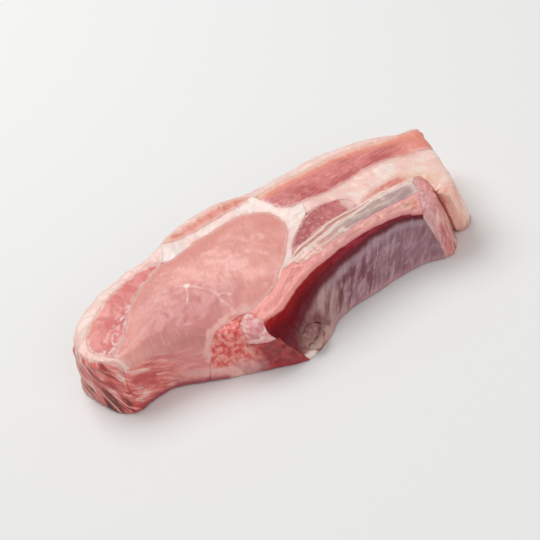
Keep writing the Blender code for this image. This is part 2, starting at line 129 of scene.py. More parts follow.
sweep = bmesh.new()
bmesh.ops.create_grid(sweep, x_segments=1, y_segments=1, size=FLOOR_SIZE / 2)
floor_mesh = bpy.data.meshes.new("floor")
sweep.to_mesh(floor_mesh)
sweep.free()
floor = bpy.data.objects.new("floor", floor_mesh)
bpy.context.collection.objects.link(floor)
floor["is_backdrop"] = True

world = bpy.data.worlds.new("studio")
world.use_nodes = True
world.node_tree.nodes["Background"].inputs["Color"].default_value = WHITE
world.node_tree.nodes["Background"].inputs["Strength"].default_value = SKY_STRENGTH
bpy.context.scene.world = world
bpy.context.scene.view_settings.view_transform = "Standard"
print("floor:", FLOOR_SIZE, "m wide, sky:", SKY_STRENGTH)

# %% [markdown]
# ## Mixing finishes
#
# Meat has no even colour: pinks drift into mauve, fat picks up blood at its
# edges, and every patch is broken up by fibres. All of that is sums of masks.
# The Math nodes could be made and linked one by one, but sums read best as
# arithmetic. `Signal` wraps one output socket, and adding to it, subtracting
# from it or multiplying it makes the Math node that does so.


# %% Arithmetic on sockets
class Signal:
    """A number or colour that varies over a surface. Arithmetic adds Math nodes."""

    def __init__(self, finish, socket):
        self.finish = finish
        self.socket = socket

    def join(self, operation, *values):
        return self.finish.node("ShaderNodeMath", {"operation": operation}, values)

    def __add__(self, other):
        return self.join("ADD", self, other)

    def __sub__(self, other):
        return self.join("SUBTRACT", self, other)

    def __rsub__(self, other):
        return self.join("SUBTRACT", other, self)

    def __mul__(self, other):
        return self.join("MULTIPLY", self, other)

    __radd__ = __add__
    __rmul__ = __mul__


print("methods:", [name for name, value in vars(Signal).items() if callable(value)])

# %% [markdown]
# ## One material and its nodes
#
# A material is a tree of nodes that ends in a shader. Each kind of node could
# have a helper of its own, but all are made in the same way: first the settings,
# because they decide which sockets a node has, then the values or links of its
# sockets. So one method makes them all.


# %% Making and linking nodes
class NodeTree:
    """One material, with a method that makes any node in it."""

    def __init__(self, name):
        self.material = bpy.data.materials.new(name)
        self.material.use_nodes = True
        self.tree = self.material.node_tree
        self.shader = self.tree.nodes["Principled BSDF"]

    def node(self, kind, settings=None, inputs=(), output=0):
        """Makes a node: first its settings, then its sockets' values or links."""
        made = self.tree.nodes.new(kind)
        for name, value in (settings or {}).items():
            setattr(made, name, value)
        pairs = inputs.items() if isinstance(inputs, dict) else enumerate(inputs)
        for socket, value in pairs:
            if isinstance(value, Signal):
                self.tree.links.new(value.socket, made.inputs[socket])
            else:
                made.inputs[socket].default_value = value
        return Signal(self, made.outputs[output])

    def set(self, socket, value):
        """Sets or links one of the shader's own sockets."""
        if isinstance(value, Signal):
            self.tree.links.new(value.socket, self.shader.inputs[socket])
        else:
            self.shader.inputs[socket].default_value = value

    def paint(self, piece, colour):
        """Sets the colour and makes this the only material of a piece."""
        self.set("Base Color", colour)
        piece.data.materials.clear()
        piece.data.materials.append(self.material)
        print(f"{self.material.name}: {len(self.tree.nodes)} nodes, on {piece.name}")


print("methods:", [name for name in vars(NodeTree) if not name.startswith("_")])

# %% [markdown]
# ## Patterns in millimetres
#
# A pattern could be painted as an image, but it would blur close up and show its
# seams. Noise on the Object coordinates has no seams, and its size is a real
# size once the coordinates are scaled to millimetres. `between` turns any
# measure into a soft mask, `patches` does so with noise, and `ragged` gives a
# mask an uneven border, as blood and fat have.


# %% Noise and masks
class Patterns(NodeTree):
    """A material with noise and masks that are sized in mm."""

    def __init__(self, name):
        super().__init__(name)
        self.place = self.node(
            "ShaderNodeVectorMath", {"operation": "SCALE"},
            {"Vector": self.node("ShaderNodeTexCoord", output="Object"), "Scale": 1 / MM})
        axes = self.node("ShaderNodeSeparateXYZ", inputs=(self.place,)).socket.node.outputs
        self.x, self.y, self.z = (Signal(self, axis) for axis in axes)

    def attribute(self, name):
        return self.node("ShaderNodeAttribute", {"attribute_name": name}, output="Fac")

    def vector(self, *parts):
        return self.node("ShaderNodeCombineXYZ", {}, parts)

    def noise(self, size, seed=0.0, turn=0.0, detail=3.0, place=None):
        """Noise with features of these sizes along x, y and z, turned about z."""
        sizes = size if isinstance(size, tuple) else (size,) * 3
        place = self.place if place is None else place
        if turn:
            place = self.node("ShaderNodeVectorRotate", {"rotation_type": "Z_AXIS"},
                              {"Vector": place, "Angle": math.radians(-turn)})
        fit = self.node("ShaderNodeVectorMath", {"operation": "MULTIPLY_ADD"},
                        (place, tuple(1 / s for s in sizes), (seed, seed * 2, seed * 3)))
        return self.node("ShaderNodeTexNoise", {},
                         {"Vector": fit, "Scale": 1.0, "Detail": detail})

    def between(self, value, low, high):
        """0 at low, 1 at high, smooth between them and level beyond them."""
        return self.node("ShaderNodeMapRange", {"interpolation_type": "SMOOTHSTEP"},
                         {"Value": value, "From Min": low, "From Max": high})

    def patches(self, size, low, high, **how):
        """Patches of a size, where noise goes from low to high."""
        return self.between(self.noise(size, **how), low, high)

    def uneven(self, value, wander, size, seed=0.0):
        """A measure that noise of a size shifts up and down."""
        return value + (self.noise(size, seed) - 0.5) * (wander * 2)

    def ragged(self, value, low, high, wander, size, seed=0.0):
        """0 at low and 1 at high, with an uneven border."""
        return self.between(self.uneven(value, wander, size, seed), low, high)


print("patterns:", [name for name in vars(Patterns) if not name.startswith("_")])

# %% [markdown]
# ## A wet, translucent finish
#
# Fresh meat is wet, and light goes a little way into it and comes out red. Plain
# gloss over a plain colour would look like painted plastic. A coat makes the
# wet skin instead, and subsurface scattering the depth: red light travels just
# under a millimetre, about three times as far as green. Colours are laid over
# each other by masks, the lowest first, as a painter glazes.

# %% The meat's shader
WET_ROUGHNESS = 0.16
SPECULAR = 0.3
GLOW_COLOURS = (1.0, 0.35, 0.22)     # how far red, green and blue travel, as shares
GLOW_REACH = 0.9 * MM
DROP_SIZE = 1.6      # the gloss changes from place to place over this size, in mm
GLOSS_RANGE = 0.3
MIX_SOCKETS = (0, 6, 7)     # a Mix node's factor and its two colours, by number
MIX_RESULT = 2


class Finish(Patterns):
    """One wet, slightly translucent material, and the colours laid on it."""

    def __init__(self, name, roughness=0.42, coat=0.25, depth=0.18):
        super().__init__(name)
        self.set("Coat Weight", coat)
        self.set("Coat Roughness", WET_ROUGHNESS)
        self.set("Specular IOR Level", SPECULAR)
        self.set("Subsurface Weight", depth)
        self.set("Subsurface Radius", GLOW_COLOURS)
        self.set("Subsurface Scale", GLOW_REACH)
        drops = self.noise(DROP_SIZE, seed=11.0) - 0.5
        self.set("Roughness", drops * GLOSS_RANGE + roughness)

    def mix(self, factor, under, over):
        """One colour laid over another by a factor."""
        colours = (c if isinstance(c, Signal) else (*c, 1.0) for c in (under, over))
        return self.node("ShaderNodeMix", {"data_type": "RGBA"},
                         dict(zip(MIX_SOCKETS, (factor, *colours))), output=MIX_RESULT)

    def shade(self, colour, amount):
        """A colour made lighter or darker."""
        return self.node("ShaderNodeVectorMath", {"operation": "SCALE"},
                         {"Vector": colour, "Scale": amount})

    def bump(self, height, strength=0.4):
        """Fine relief, with the height in mm."""
        self.set("Normal", self.node(
            "ShaderNodeBump", {}, {"Height": height, "Distance": MM, "Strength": strength}))


PAPER = (0.88, 0.88, 0.87, 1.0)
plain = Finish("pale_sweep", roughness=0.8, coat=0.0, depth=0.0)
plain.paint(floor, PAPER)

# %% [markdown]
# ## Fine surfaces
#
# The solids are coarse: a few thousand flat faces. A finer skin could be made
# by a voxel remesh, but that would round every seam and open a groove between
# the muscles. On the real chop the cut faces are level right across a seam. So
# each piece is a copy of its solid under a Subdivision Surface whose creases
# hold the edges of the cut, while the rims, which aren't creased, stay round.
# The solids keep a hair's gap, and each copy is first grown to half of it.

# %% Growing the walls
HALF_GAP = 0.165 * MM
WALL_TILT = 0.6      # a wall's normal points up or down by less than this
LEAST_SHARE = 0.4    # a corner moves by no more than the reach over this


def grow(mesh, reach):
    """Moves a piece's walls outward, level with the board, by a small reach."""
    moves = []
    for vert in mesh.verts:
        walls = [Vector(f.normal[:2]) for f in vert.link_faces if abs(f.normal.z) < WALL_TILT]
        out = sum((w.normalized() for w in walls if w.length), Vector((0.0, 0.0)))
        if out.length > 0.1:
            out.normalize()
            least = min(out.dot(w.normalized()) for w in walls)
            moves.append((vert, out * (reach / max(LEAST_SHARE, least))))
    for vert, move in moves:
        vert.co.x += move.x
        vert.co.y += move.y


print("walls grow by", HALF_GAP / MM, "mm")

# %% Creasing and subdividing
CREASE_ANGLE = math.radians(50)
SAME_POINT = 0.002 * MM
SAME_PLANE = math.radians(12)
MOST_SKEW = math.radians(35)
TIGHT = ("chine_bone", "chine_gristle")     # these press into their neighbours
TIGHT_SHARE = 2.2
LEVELS = 3


def fine_copy(node):
    """A closed, finely divided copy of one of the model's solids."""
    mesh = bmesh.new()
    mesh.from_mesh(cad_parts[node].data)
    bmesh.ops.remove_doubles(mesh, verts=mesh.verts, dist=SAME_POINT)
    bmesh.ops.join_triangles(
        mesh, faces=mesh.faces, angle_face_threshold=SAME_PLANE, angle_shape_threshold=MOST_SKEW)
    grow(mesh, HALF_GAP * (TIGHT_SHARE if node in TIGHT else 1.0))
    crease = mesh.edges.layers.float.new("crease_edge")
    for edge in mesh.edges:
        edge[crease] = float(edge.calc_face_angle(0.0) > CREASE_ANGLE)
    data = bpy.data.meshes.new(node)
    mesh.to_mesh(data)
    mesh.free()
    rough = bpy.data.objects.new(node + "_rough", data)
    bpy.context.collection.objects.link(rough)
    smooth = rough.modifiers.new("smooth", "SUBSURF")
    smooth.levels = LEVELS
    smooth.render_levels = LEVELS
    fine_mesh = bpy.data.meshes.new_from_object(
        rough.evaluated_get(bpy.context.evaluated_depsgraph_get()))
    bpy.data.objects.remove(rough)
    bpy.data.meshes.remove(data)
    return fine_mesh


fine = {node: fine_copy(node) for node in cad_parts}
print("fine faces:", sum(len(f.polygons) for f in fine.values()))

# %% [markdown]
# ## Seams
#
# Relief has to fade out where two pieces meet, and colour changes there. The
# meeting lines need no list of their own: they are the sharp edges that the
# creases have kept.


# %% Points on the seams
def sharp_points(data):
    """The points of a mesh that lie on its sharp edges."""
    mesh = bmesh.new()
    mesh.from_mesh(data)
    sharp = {v for e in mesh.edges if e.calc_face_angle(0.0) > CREASE_ANGLE for v in e.verts}
    points = [v.co.copy() for v in sharp]
    mesh.free()
    return points


def edge_points(node):
    """A piece's seam points, or all its points if it has no seam."""
    return seams[node] or [v.co for v in fine[node].vertices]


seams = {node: sharp_points(data) for node, data in fine.items()}
print("points on seams:", {node: len(points) for node, points in seams.items()})

# %% [markdown]
# ## Drift
#
# Nothing in a chop is quite flat or straight. Each piece could be bent by noise
# of its own, but then neighbours would part. One shared drift of space moves
# them together instead: seams wander and the faces undulate without a crack.

# %% The shared drift
DRIFT = ((0.55, 16.0), (0.32, 6.0), (0.22, 2.8), (0.09, 1.3))    # amounts and sizes in mm
DRIFT_STARTS = (Vector((0.0, 0.0, 0.0)), Vector((17.3, 5.1, 9.7)), Vector((31.9, 44.3, 2.6)))
FLAT_FOOT = 2.5     # the drift lifts nothing at the board and all of it above this, in mm


def drift(point):
    """The shared drift at a point, both in mm."""
    moved = Vector((0.0, 0.0, 0.0))
    for amount, size in DRIFT:
        moved += Vector([noise.noise(point / size + start) for start in DRIFT_STARTS]) * amount
    moved.z *= min(1.0, point.z / FLAT_FOOT)
    return moved


print("drift at a top corner, in mm:", [round(c, 2) for c in drift(CAD_HIGH / MM)])

# %% [markdown]
# ## The rolled rim
#
# Along the near rim the soft eye and the torn side sag over the wall. A bevel
# would round only the edge itself. Here the face goes down by the square of how
# near a point is to the rim, so that it leaves the level part without a break.

# %% Rolling the face down
ROLL_ABOVE = 18.0    # the rim lies above this height, in mm
ROLL_WIDTH = 13.0
ROLL_DROP = 2.2
THICK = CAD_HIGH.z / MM
ROUND_RIM = (0.4, 0.75)     # a rim's normals point up by a share between these


def tree_of(points):
    """A search tree over some points."""
    tree = kdtree.KDTree(len(points))
    for index, point in enumerate(points):
        tree.insert(point, index)
    tree.balance()
    return tree


def rim_points(node):
    """Points of a piece's upper rim, level with the board, in mm."""
    mesh = bmesh.new()
    mesh.from_mesh(fine[node])
    mesh.normal_update()
    rim = [Vector((v.co.x, v.co.y, 0.0)) / MM for v in mesh.verts
           if ROUND_RIM[0] < v.normal.z < ROUND_RIM[1] and v.co.z > ROLL_ABOVE * MM]
    mesh.free()
    return rim


near_rim = rim_points("loin_eye") + rim_points("side_lean")
RIM = tree_of(near_rim)
print("points on the near rim:", len(near_rim))


def roll(point):
    """How far the upper face rolls down towards its near rim, in mm."""
    away = RIM.find(Vector((point.x, point.y, 0.0)))[2] / ROLL_WIDTH
    if away >= 1.0:
        return 0.0
    return ROLL_DROP * (1.0 - away) ** 2 * (point.z / THICK) ** 2


# %% [markdown]
# ## Measures
#
# A finish needs to know where on its piece it is: how far from a seam, how far
# below the face, how near some neighbour. Nodes can't find that out by
# themselves. So it is measured here once for every point, in millimetres, and
# stored as attributes that any finish can read by name.

# %% Measuring a piece
FAR = 99.0
FACE_UP = 0.75       # the upper face's normals point up by more than this
TOP_SHARE = 0.8      # a piece's upper face lies above this share of its height
OPEN_WALL = 1.5      # an open wall lies this far from the seams and below the face, in mm


def reach_to(points, verts):
    """How far each vertex is from the nearest of some points, in mm."""
    if not points:
        return [FAR] * len(verts)
    tree = tree_of(points)
    return [tree.find(v.co)[2] / MM for v in verts]


def depths_of(verts):
    """How far each vertex lies below the piece's upper face, in mm."""
    level = max(v.co.z for v in verts) * TOP_SHARE
    tops = [v.co for v in verts if v.normal.z > FACE_UP and v.co.z > level]
    tree = tree_of([Vector((p.x, p.y, 0.0)) for p in tops])
    depths = []
    for vert in verts:
        nearest = tree.find(Vector((vert.co.x, vert.co.y, 0.0)))[1]
        depths.append(max(0.0, tops[nearest].z - vert.co.z) / MM)
    return depths


def measure(node, verts, near):
    """A piece's measures by name: seam, depth, edge, and its named neighbours."""
    measures = {"seam": reach_to(seams[node], verts), "depth": depths_of(verts)}
    walls = [v.co for v, far, down in zip(verts, *measures.values())
             if far > OPEN_WALL and down > OPEN_WALL]
    measures["edge"] = reach_to(walls, verts)
    for name, others in near.items():
        measures[name] = reach_to([p for other in others for p in edge_points(other)], verts)
    return measures


print("measures on every piece: seam, depth, edge")

# %% [markdown]
# ## Building a piece
#
# All pieces are built alike. Relief of the piece's own moves its points along
# their normals and fades out at its seams, then the drift and the roll move
# them, and nothing goes below the board. A Displace modifier could do the same,
# but a small function for each kind of tissue says more plainly what it does.

# %% Dressing a solid
SEAM_FADE = 1.4      # a piece's own relief fades out this near to its seams, in mm


def relieved(vert, normal, height):
    """Where a vertex goes, with the height of the piece's own relief in mm."""
    point = vert.co / MM
    place = (point + drift(point) + normal * height) * MM
    place.z = max(place.z - roll(point) * MM, 0.0)
    return place


def build(node, relief, near=None, also=None):
    """Dresses one solid: its fine copy, with relief, that stands for the solid."""
    data = fine[node]
    mesh = bmesh.new()
    mesh.from_mesh(data)
    mesh.normal_update()
    verts = list(mesh.verts)
    measures = measure(node, verts, near or {})
    for name, reach in (also or {}).items():
        measures[name] = [reach(v.co / MM) for v in verts]
    normals = [v.normal.copy() for v in verts]
    for vert, normal, distance, depth in zip(verts, normals, measures["seam"], measures["depth"]):
        keep = min(1.0, distance / SEAM_FADE)
        keep *= keep * (3 - 2 * keep)
        vert.co = relieved(vert, normal, relief(vert.co / MM, normal, depth) * keep)
    mesh.to_mesh(data)
    mesh.free()
    for name, values in measures.items():
        data.attributes.new(name, "FLOAT", "POINT").data.foreach_set("value", values)
    data.shade_smooth()
    data.set_sharp_from_angle(angle=CREASE_ANGLE)
    piece = bpy.data.objects.new("meat_" + node, data)
    bpy.context.collection.objects.link(piece)
    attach(piece, "root")
    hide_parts(node)
    print(f"{piece.name}: {len(data.polygons)} faces, measures {list(measures)}")
    return piece


# %% [markdown]
# ## Cut muscle
#
# Cut across, a muscle shows the ends of its fibre bundles as a soft grain, drawn
# out one way by the knife. Hairs or thin strips could make single fibres, but
# on a wet cut they melt together. Two noises are closer: one as big as a
# bundle, one as a fibre. They shade the colour and feed a bump, and a coarser
# one moves the mesh.


# %% The grain of a cut
def wave(point, size, seed=0.0):
    """Smooth noise about 0, with features of a size in mm: one number or three."""
    sizes = size if isinstance(size, tuple) else (size,) * 3
    return noise.noise(Vector((a / b + seed for a, b in zip(point, sizes))))


def cut_relief(point, normal, depth):
    """The grain of a cut muscle: fibre bundles a millimetre or two across."""
    return 0.10 * wave(point, (1.6, 4.0, 2.5)) + 0.12 * wave(point, 4.5, 7.0)


def muscle(f, pale, deep, seed=0.0, turn=0.0, contrast=1.0):
    """Muscle: two pinks in soft patches, broken up by bundles and fibres."""
    colour = f.mix(f.patches(12.0, 0.36, 0.64, seed=seed, detail=2.0), deep, pale)
    bundles = f.noise((1.3, 3.6, 5.0), seed + 3, turn)
    fibres = f.noise((0.45, 1.8, 3.0), seed + 5, turn)
    grain = (bundles - 0.5) * (0.42 * contrast) + (fibres - 0.5) * (0.40 * contrast)
    f.bump(bundles * (0.30 * contrast) + fibres * (0.16 * contrast))
    return f.shade(colour, grain + 1.0)


print("relief of a cut at a top corner, in mm:", round(cut_relief(CAD_HIGH / MM, None, 0.0), 3))

# %% [markdown]
# ## Pale edges and pale spots
#
# Each muscle sits in a sleeve of connective tissue, so on the cut it pales
# towards its edge. A painted mask would have to be drawn round every piece,
# while the stored distance to the seam serves them all. Single blots have no
# edge to follow, and are set by their place in millimetres.

# %% Tissue edges and spots
TISSUE = (0.90, 0.60, 0.55)


def tissue_edge(f, colour, reach=1.5, over=TISSUE, strength=0.6, seed=0.0):
    """Connective tissue: a muscle pales unevenly towards its edges."""
    edge = f.ragged(f.attribute("seam"), reach, 0.1, wander=1.3, size=2.2, seed=seed)
    on_face = f.between(f.attribute("depth"), 4.0, 1.5)
    return f.mix(edge * on_face * strength, colour, over)


def spot(f, x, y, reach, stretch=1.0, turn=0.0):
    """1 at a place in mm and 0 at its reach, with an uneven border."""
    along = Vector((math.cos(math.radians(turn)), math.sin(math.radians(turn))))
    right, up = f.x - x, f.y - y
    far = right * (along.x / stretch) + up * (along.y / stretch)
    side = up * along.x - right * along.y
    length = f.node("ShaderNodeMath", {"operation": "SQRT"}, (far * far + side * side,))
    return f.ragged(length, reach, reach * 0.2, wander=reach * 0.45, size=reach * 0.5, seed=x)


print("tissue:", TISSUE)

# %% [markdown]
# ## Torn strips
#
# Where the knife turned away, the muscle was torn, not cut: red and pink strips
# lie over each other and slant down the wall. Each strip could be a mesh of its
# own, but they are joined along their length. Noise that is long one way and
# thin the other, on coordinates that slant with the strips, gives them all. It
# is used on the left wall and, fading out, on the eye and the fat beside it.

# %% Ribbons of torn muscle
SIDE_SLANT = 1.0
RIBBON_DEEP, RIBBON_RED = (0.60, 0.075, 0.07), (0.89, 0.245, 0.21)
RIBBON_WHITE, THREAD_WHITE = (0.98, 0.69, 0.63), (0.97, 0.68, 0.62)
THREAD_DARK = (0.40, 0.06, 0.06)
DIAGONAL = 0.707     # the share of x and of y along a wall that runs at 45 degrees


def ribbon_colour(f):
    """Torn strips of muscle, red, pink and white, that slant along a wall."""
    along = (f.x - f.y) * DIAGONAL
    slanted = f.vector(along, f.x, f.z + along * SIDE_SLANT)
    ribbons = f.noise((8.0, 9.0, 3.4), seed=1.0, place=slanted)
    threads = f.noise((6.0, 6.0, 1.2), seed=2.0, detail=2.0, place=slanted)
    colour = f.mix(f.between(ribbons, 0.38, 0.58), RIBBON_DEEP, RIBBON_RED)
    colour = f.mix(f.between(ribbons, 0.58, 0.68) * 0.8, colour, RIBBON_WHITE)
    colour = f.mix(f.between(threads, 0.56, 0.66) * 0.6, colour, THREAD_WHITE)
    colour = f.mix(f.between(threads, 0.44, 0.34) * 0.5, colour, THREAD_DARK)
    return colour, ribbons, threads


print("ribbons slant by", SIDE_SLANT, "mm for each mm along the wall")

# %% [markdown]
# ## Marrow
#
# The saw opened the backbone, and its red marrow shows as a sponge: bright
# crimson on the left and nearly black on the right, where it lies deeper. It
# ends in the eye with a pale, crumbly edge that wanders across the seam. Both
# pieces take this one finish and measure from that seam, one on each side of
# zero, so that the edge can cross it. Two finishes would end in a straight line.

# %% The marrow's sponge
MARROW_DEEP, MARROW_RED, MARROW_PINK = (0.70, 0.085, 0.08), (0.95, 0.32, 0.27), (0.96, 0.52, 0.47)
CLOT_DARK, CLOT_RED = (0.20, 0.004, 0.013), (0.42, 0.035, 0.045)
LOW_LEFT, LOW_RIGHT, BONE_GREY = (0.62, 0.20, 0.21), (0.42, 0.04, 0.055), (0.74, 0.44, 0.43)


def sponge_colour(f, sponge):
    """Crimson sponge: clotted on the right, duller low down, greyish at one place."""
    colour = f.mix(f.between(sponge, 0.36, 0.60), MARROW_DEEP, MARROW_RED)
    colour = f.mix(f.between(sponge, 0.56, 0.68) * 0.75, colour, MARROW_PINK)
    clots = f.mix(f.patches(3.0, 0.40, 0.64, seed=6.0, detail=2.0), CLOT_DARK, CLOT_RED)
    right = f.ragged(f.x, -18.0, -10.0, wander=3.5, size=5.0)
    colour = f.mix(right * 0.85, colour, clots)
    low = f.ragged(f.z, 5.0, 1.5, wander=2.0, size=5.0, seed=4.0)
    colour = f.mix(low * 0.6, colour, f.mix(f.between(f.x, -26.0, -20.0), LOW_LEFT, LOW_RIGHT))
    lower = f.ragged(f.z, 9.0, 4.0, wander=2.0, size=4.0, seed=9.0)
    return f.mix(spot(f, -17, -37, reach=6.5, stretch=1.6) * lower * 0.8, colour, BONE_GREY)


print("the marrow's reds:", MARROW_DEEP, MARROW_RED)

# %% The marrow's edge
CRUMBS, BORDER_PINK, BORDER_FOOT_SHADE = (0.94, 0.53, 0.47), (0.85, 0.37, 0.35), (0.40, 0.06, 0.09)
UNDERCUT = 7.0      # low down, the edge lies this much further back, in mm


def marrow_colour(f, away):
    """The sponge, its pale edge and the meat beyond it, by how far away that is."""
    sponge = f.noise(2.0, seed=1.0, detail=4.0)
    under = f.between(f.z, 12.0, 3.0) * f.between(f.x, -15.0, -23.0)
    level = f.uneven(away, wander=2.4, size=4.0, seed=8.0) + under * UNDERCUT
    colour = f.mix(f.between(level, -0.6, 1.0) * 0.9, sponge_colour(f, sponge), CRUMBS)
    # Painted shade: beyond the marrow's edge the meat is darkened along its foot, at the board.
    foot = f.ragged(f.z, 3.2, 1.4, wander=1.2, size=3.0, seed=8.0)
    colour = f.mix(f.between(level, 1.8, 3.4), colour, f.mix(foot * 0.8, BORDER_PINK, BORDER_FOOT_SHADE))
    return colour, f.between(level, 3.6, 2.0), sponge


print("the marrow's edge goes back by", UNDERCUT, "mm low down")

# %% [markdown]
# ## The loin eye
#
# The eye is the big round muscle that people buy a chop for. It is pale pink,
# greyer and more mauve towards the chine, where the face rolls over into the
# wall. That mauve is partly the muscle's own tone and partly painted shade on
# the rolled-over face. A vein of marbling forks across its lower half. The vein
# could be a thin mesh laid in the face, but it is a stain rather than a thing.
# So each point stores how far it is from a drawn line, and the finish does the
# rest.

# %% The forked vein
VEINS = (
    ((-32.5, -9.0), (-29.6, -10.4), (-26.6, -12.6), (-23.6, -15.6), (-20.6, -18.4),
     (-19.4, -22.4), (-17.0, -26.4), (-15.6, -31.4)),
    ((-29.6, -10.4), (-30.2, -15.0), (-31.6, -19.6)),
    ((-19.8, -20.6), (-17.4, -20.2), (-15.2, -21.8)))


def off_line(point, line):
    """How far a point is, seen from above, from a drawn line of points, in mm."""
    here = Vector(point[:2])
    best = FAR
    for start, finish in zip(line, line[1:]):
        a, b = Vector(start), Vector(finish)
        along = (here - a).dot(b - a) / (b - a).length_squared
        best = min(best, (here - a.lerp(b, max(0.0, min(1.0, along)))).length)
    return best


def off_veins(point):
    """How far a point is from the nearest vein, in mm."""
    return min(off_line(point, line) for line in VEINS)


eye = build("loin_eye", cut_relief,
            near={"chine": ("chine_bone",)}, also={"vein": off_veins})

# %% The eye's face
EYE_PALE, EYE_DEEP = (0.90, 0.435, 0.38), (0.81, 0.345, 0.295)
EYE_MAUVE_AND_SHADE, EYE_UPPER = (0.63, 0.22, 0.215), (0.77, 0.27, 0.22)
FIBRE_PINK, VEIN_CREAM, KNOT_WHITE = (0.94, 0.60, 0.54), (0.95, 0.66, 0.60), (0.97, 0.84, 0.80)
KNOT = VEINS[1][0]      # where the vein forks

f = Finish("loin_eye_lean")
face = muscle(f, EYE_PALE, EYE_DEEP, seed=1.0, contrast=0.7)
# Painted shade, with the muscle's own mauve: greyer and more mauve where the face rolls over towards
# the chine.
face = f.mix(spot(f, -31, -27, reach=24, stretch=1.4, turn=-20) * 0.75, face, EYE_MAUVE_AND_SHADE)
upper = f.ragged(f.attribute("seam"), 13.0, 2.0, wander=3.0, size=8.0, seed=2.0)
face = f.mix(upper * f.between(f.y, -4.0, 10.0) * 0.6, face, EYE_UPPER)
streaks = f.patches((0.65, 8.0, 4.0), 0.57, 0.70, seed=5.0, turn=5)
some = f.patches(9.0, 0.40, 0.62, seed=2.0, detail=1.0)
face = f.mix(streaks * some * 0.4, face, FIBRE_PINK)
vein = f.ragged(f.attribute("vein"), 0.75, 0.0, wander=0.7, size=2.0, seed=4.0)
broken = f.patches(3.0, 0.34, 0.56, seed=7.0, detail=2.0)
face = f.mix(vein * (broken * 0.5 + 0.3), face, VEIN_CREAM)
face = f.mix(spot(f, *KNOT, reach=1.7) * 0.9, face, KNOT_WHITE)
print("nodes in the eye's face:", len(f.tree.nodes))

# %% [markdown]
# ## The eye's wall
#
# Below the face the same muscle is seen from its side: redder, with lines along
# it. It turns into torn strips on the left and into marrow on the right. Along
# its foot, at the board, it is painted darker as shade, with a pale line above
# that. A second material on the wall's faces would change at a hard edge. So
# the same finish goes on, and the stored depth leads it over from face to wall.

# %% The eye's wall
WALL_RED, WALL_PINK = (0.79, 0.28, 0.26), (0.88, 0.38, 0.34)
FOOT_SHADE, LINE_PINK = (0.33, 0.05, 0.08), (0.92, 0.58, 0.54)

down = f.attribute("depth")
wall = f.mix(f.patches((7.0, 7.0, 1.8), 0.38, 0.66, seed=6.0), WALL_RED, WALL_PINK)
colour = f.mix(f.ragged(down, 0.5, 13.0, wander=2.5, size=6.0, seed=2.0), face, wall)
near_side = f.ragged(f.x, -38.0, -50.0, wander=4.0, size=5.0)
torn = near_side * f.ragged(down, 2.0, 6.0, wander=1.5, size=3.0)
colour = f.mix(torn * 0.9, colour, f.shade(ribbon_colour(f)[0], 0.92))
# Painted shade: the wall is darkened along its foot, at the board.
foot_line = f.ragged(f.z, 3.4, 1.4, wander=1.2, size=3.0, seed=8.0)
colour = f.mix(foot_line * 0.8, colour, FOOT_SHADE)
above = f.uneven(f.z, wander=1.0, size=4.0, seed=3.0)
pale_line = f.between(above, 7.0, 5.0) * f.between(above, 3.0, 4.4)
colour = f.mix(pale_line * f.between(f.x, -44.0, -38.0) * 0.55, colour, LINE_PINK)
marrow, reach, sponge = marrow_colour(f, f.attribute("chine"))
colour = f.mix(reach * 0.9, colour, marrow)
f.paint(eye, tissue_edge(f, colour, seed=1.0))

# %% [markdown]
# ## The cap
#
# A thin cap wraps the eye's left side. It works harder than the eye, so it is
# redder, and fat creeps in between its bundles where it lies against the eye.
# Scattered small meshes could be the flecks, but they would lie on the cut, not
# in it. Noise gives them, and the distance to the eye keeps them to that side.

# %% Cap
CAP_PALE, CAP_DEEP, CAP_UPPER = (0.83, 0.29, 0.265), (0.74, 0.20, 0.185), (0.76, 0.22, 0.20)
CAP_ORANGE, CAP_DARK = (0.87, 0.38, 0.29), (0.66, 0.19, 0.19)
FAT_FLECK, CAP_TISSUE = (0.93, 0.70, 0.68), (0.93, 0.68, 0.63)

cap = build("cap_lean", cut_relief, near={"eye": ("loin_eye",)})
f = Finish("cap_lean")
colour = muscle(f, CAP_PALE, CAP_DEEP, seed=2.0, turn=-35)
colour = f.mix(f.ragged(f.y, -8.0, 4.0, wander=6.0, size=9.0) * 0.9, colour, CAP_UPPER)
colour = f.mix(spot(f, -71, -14, reach=10.0, stretch=2.0, turn=60) * 0.7, colour, CAP_ORANGE)
inner_side = f.ragged(f.attribute("eye"), 7.5, 1.5, wander=3.0, size=3.5)
flecks = f.patches((1.1, 2.4, 3.0), 0.50, 0.62, seed=4.0, turn=-30)
low_half = f.between(f.y, 0.0, -14.0)
colour = f.mix(flecks * inner_side * low_half * 0.85, colour, FAT_FLECK)
dark_flecks = f.patches((1.4, 2.6, 3.0), 0.58, 0.68, seed=9.0, turn=-30, detail=2.0)
colour = f.mix(dark_flecks * 0.45, colour, CAP_DARK)
f.paint(cap, tissue_edge(f, colour, reach=1.6, over=CAP_TISSUE, strength=0.75, seed=2.0))

# %% [markdown]
# ## The strip
#
# A flat lens of muscle lies along the eye's upper edge, hardly thicker than the
# tissue round it. It could share the cap's finish, but its pale edge is wide
# beside its own width, so it gets a finish of its own with the grain turned.

# %% Strip
STRIP_PALE, STRIP_DEEP, STRIP_TISSUE = (0.82, 0.32, 0.24), (0.72, 0.22, 0.17), (0.90, 0.56, 0.47)

strip = build("strip_lean", cut_relief)
f = Finish("strip_lean")
colour = muscle(f, STRIP_PALE, STRIP_DEEP, seed=3.0, turn=-65)
f.paint(strip, tissue_edge(f, colour, reach=2.2, over=STRIP_TISSUE, strength=0.8, seed=3.0))

# %% [markdown]
# ## The belly
#
# The belly muscle is dark and coarse, with pale streaks along its length. Near
# the back fat it turns orange and then pink, as light and fat come through. One
# pale edge all round would be simpler, but its two sides differ, so each side's
# neighbours are measured apart. Its open end hangs down in pale threads.

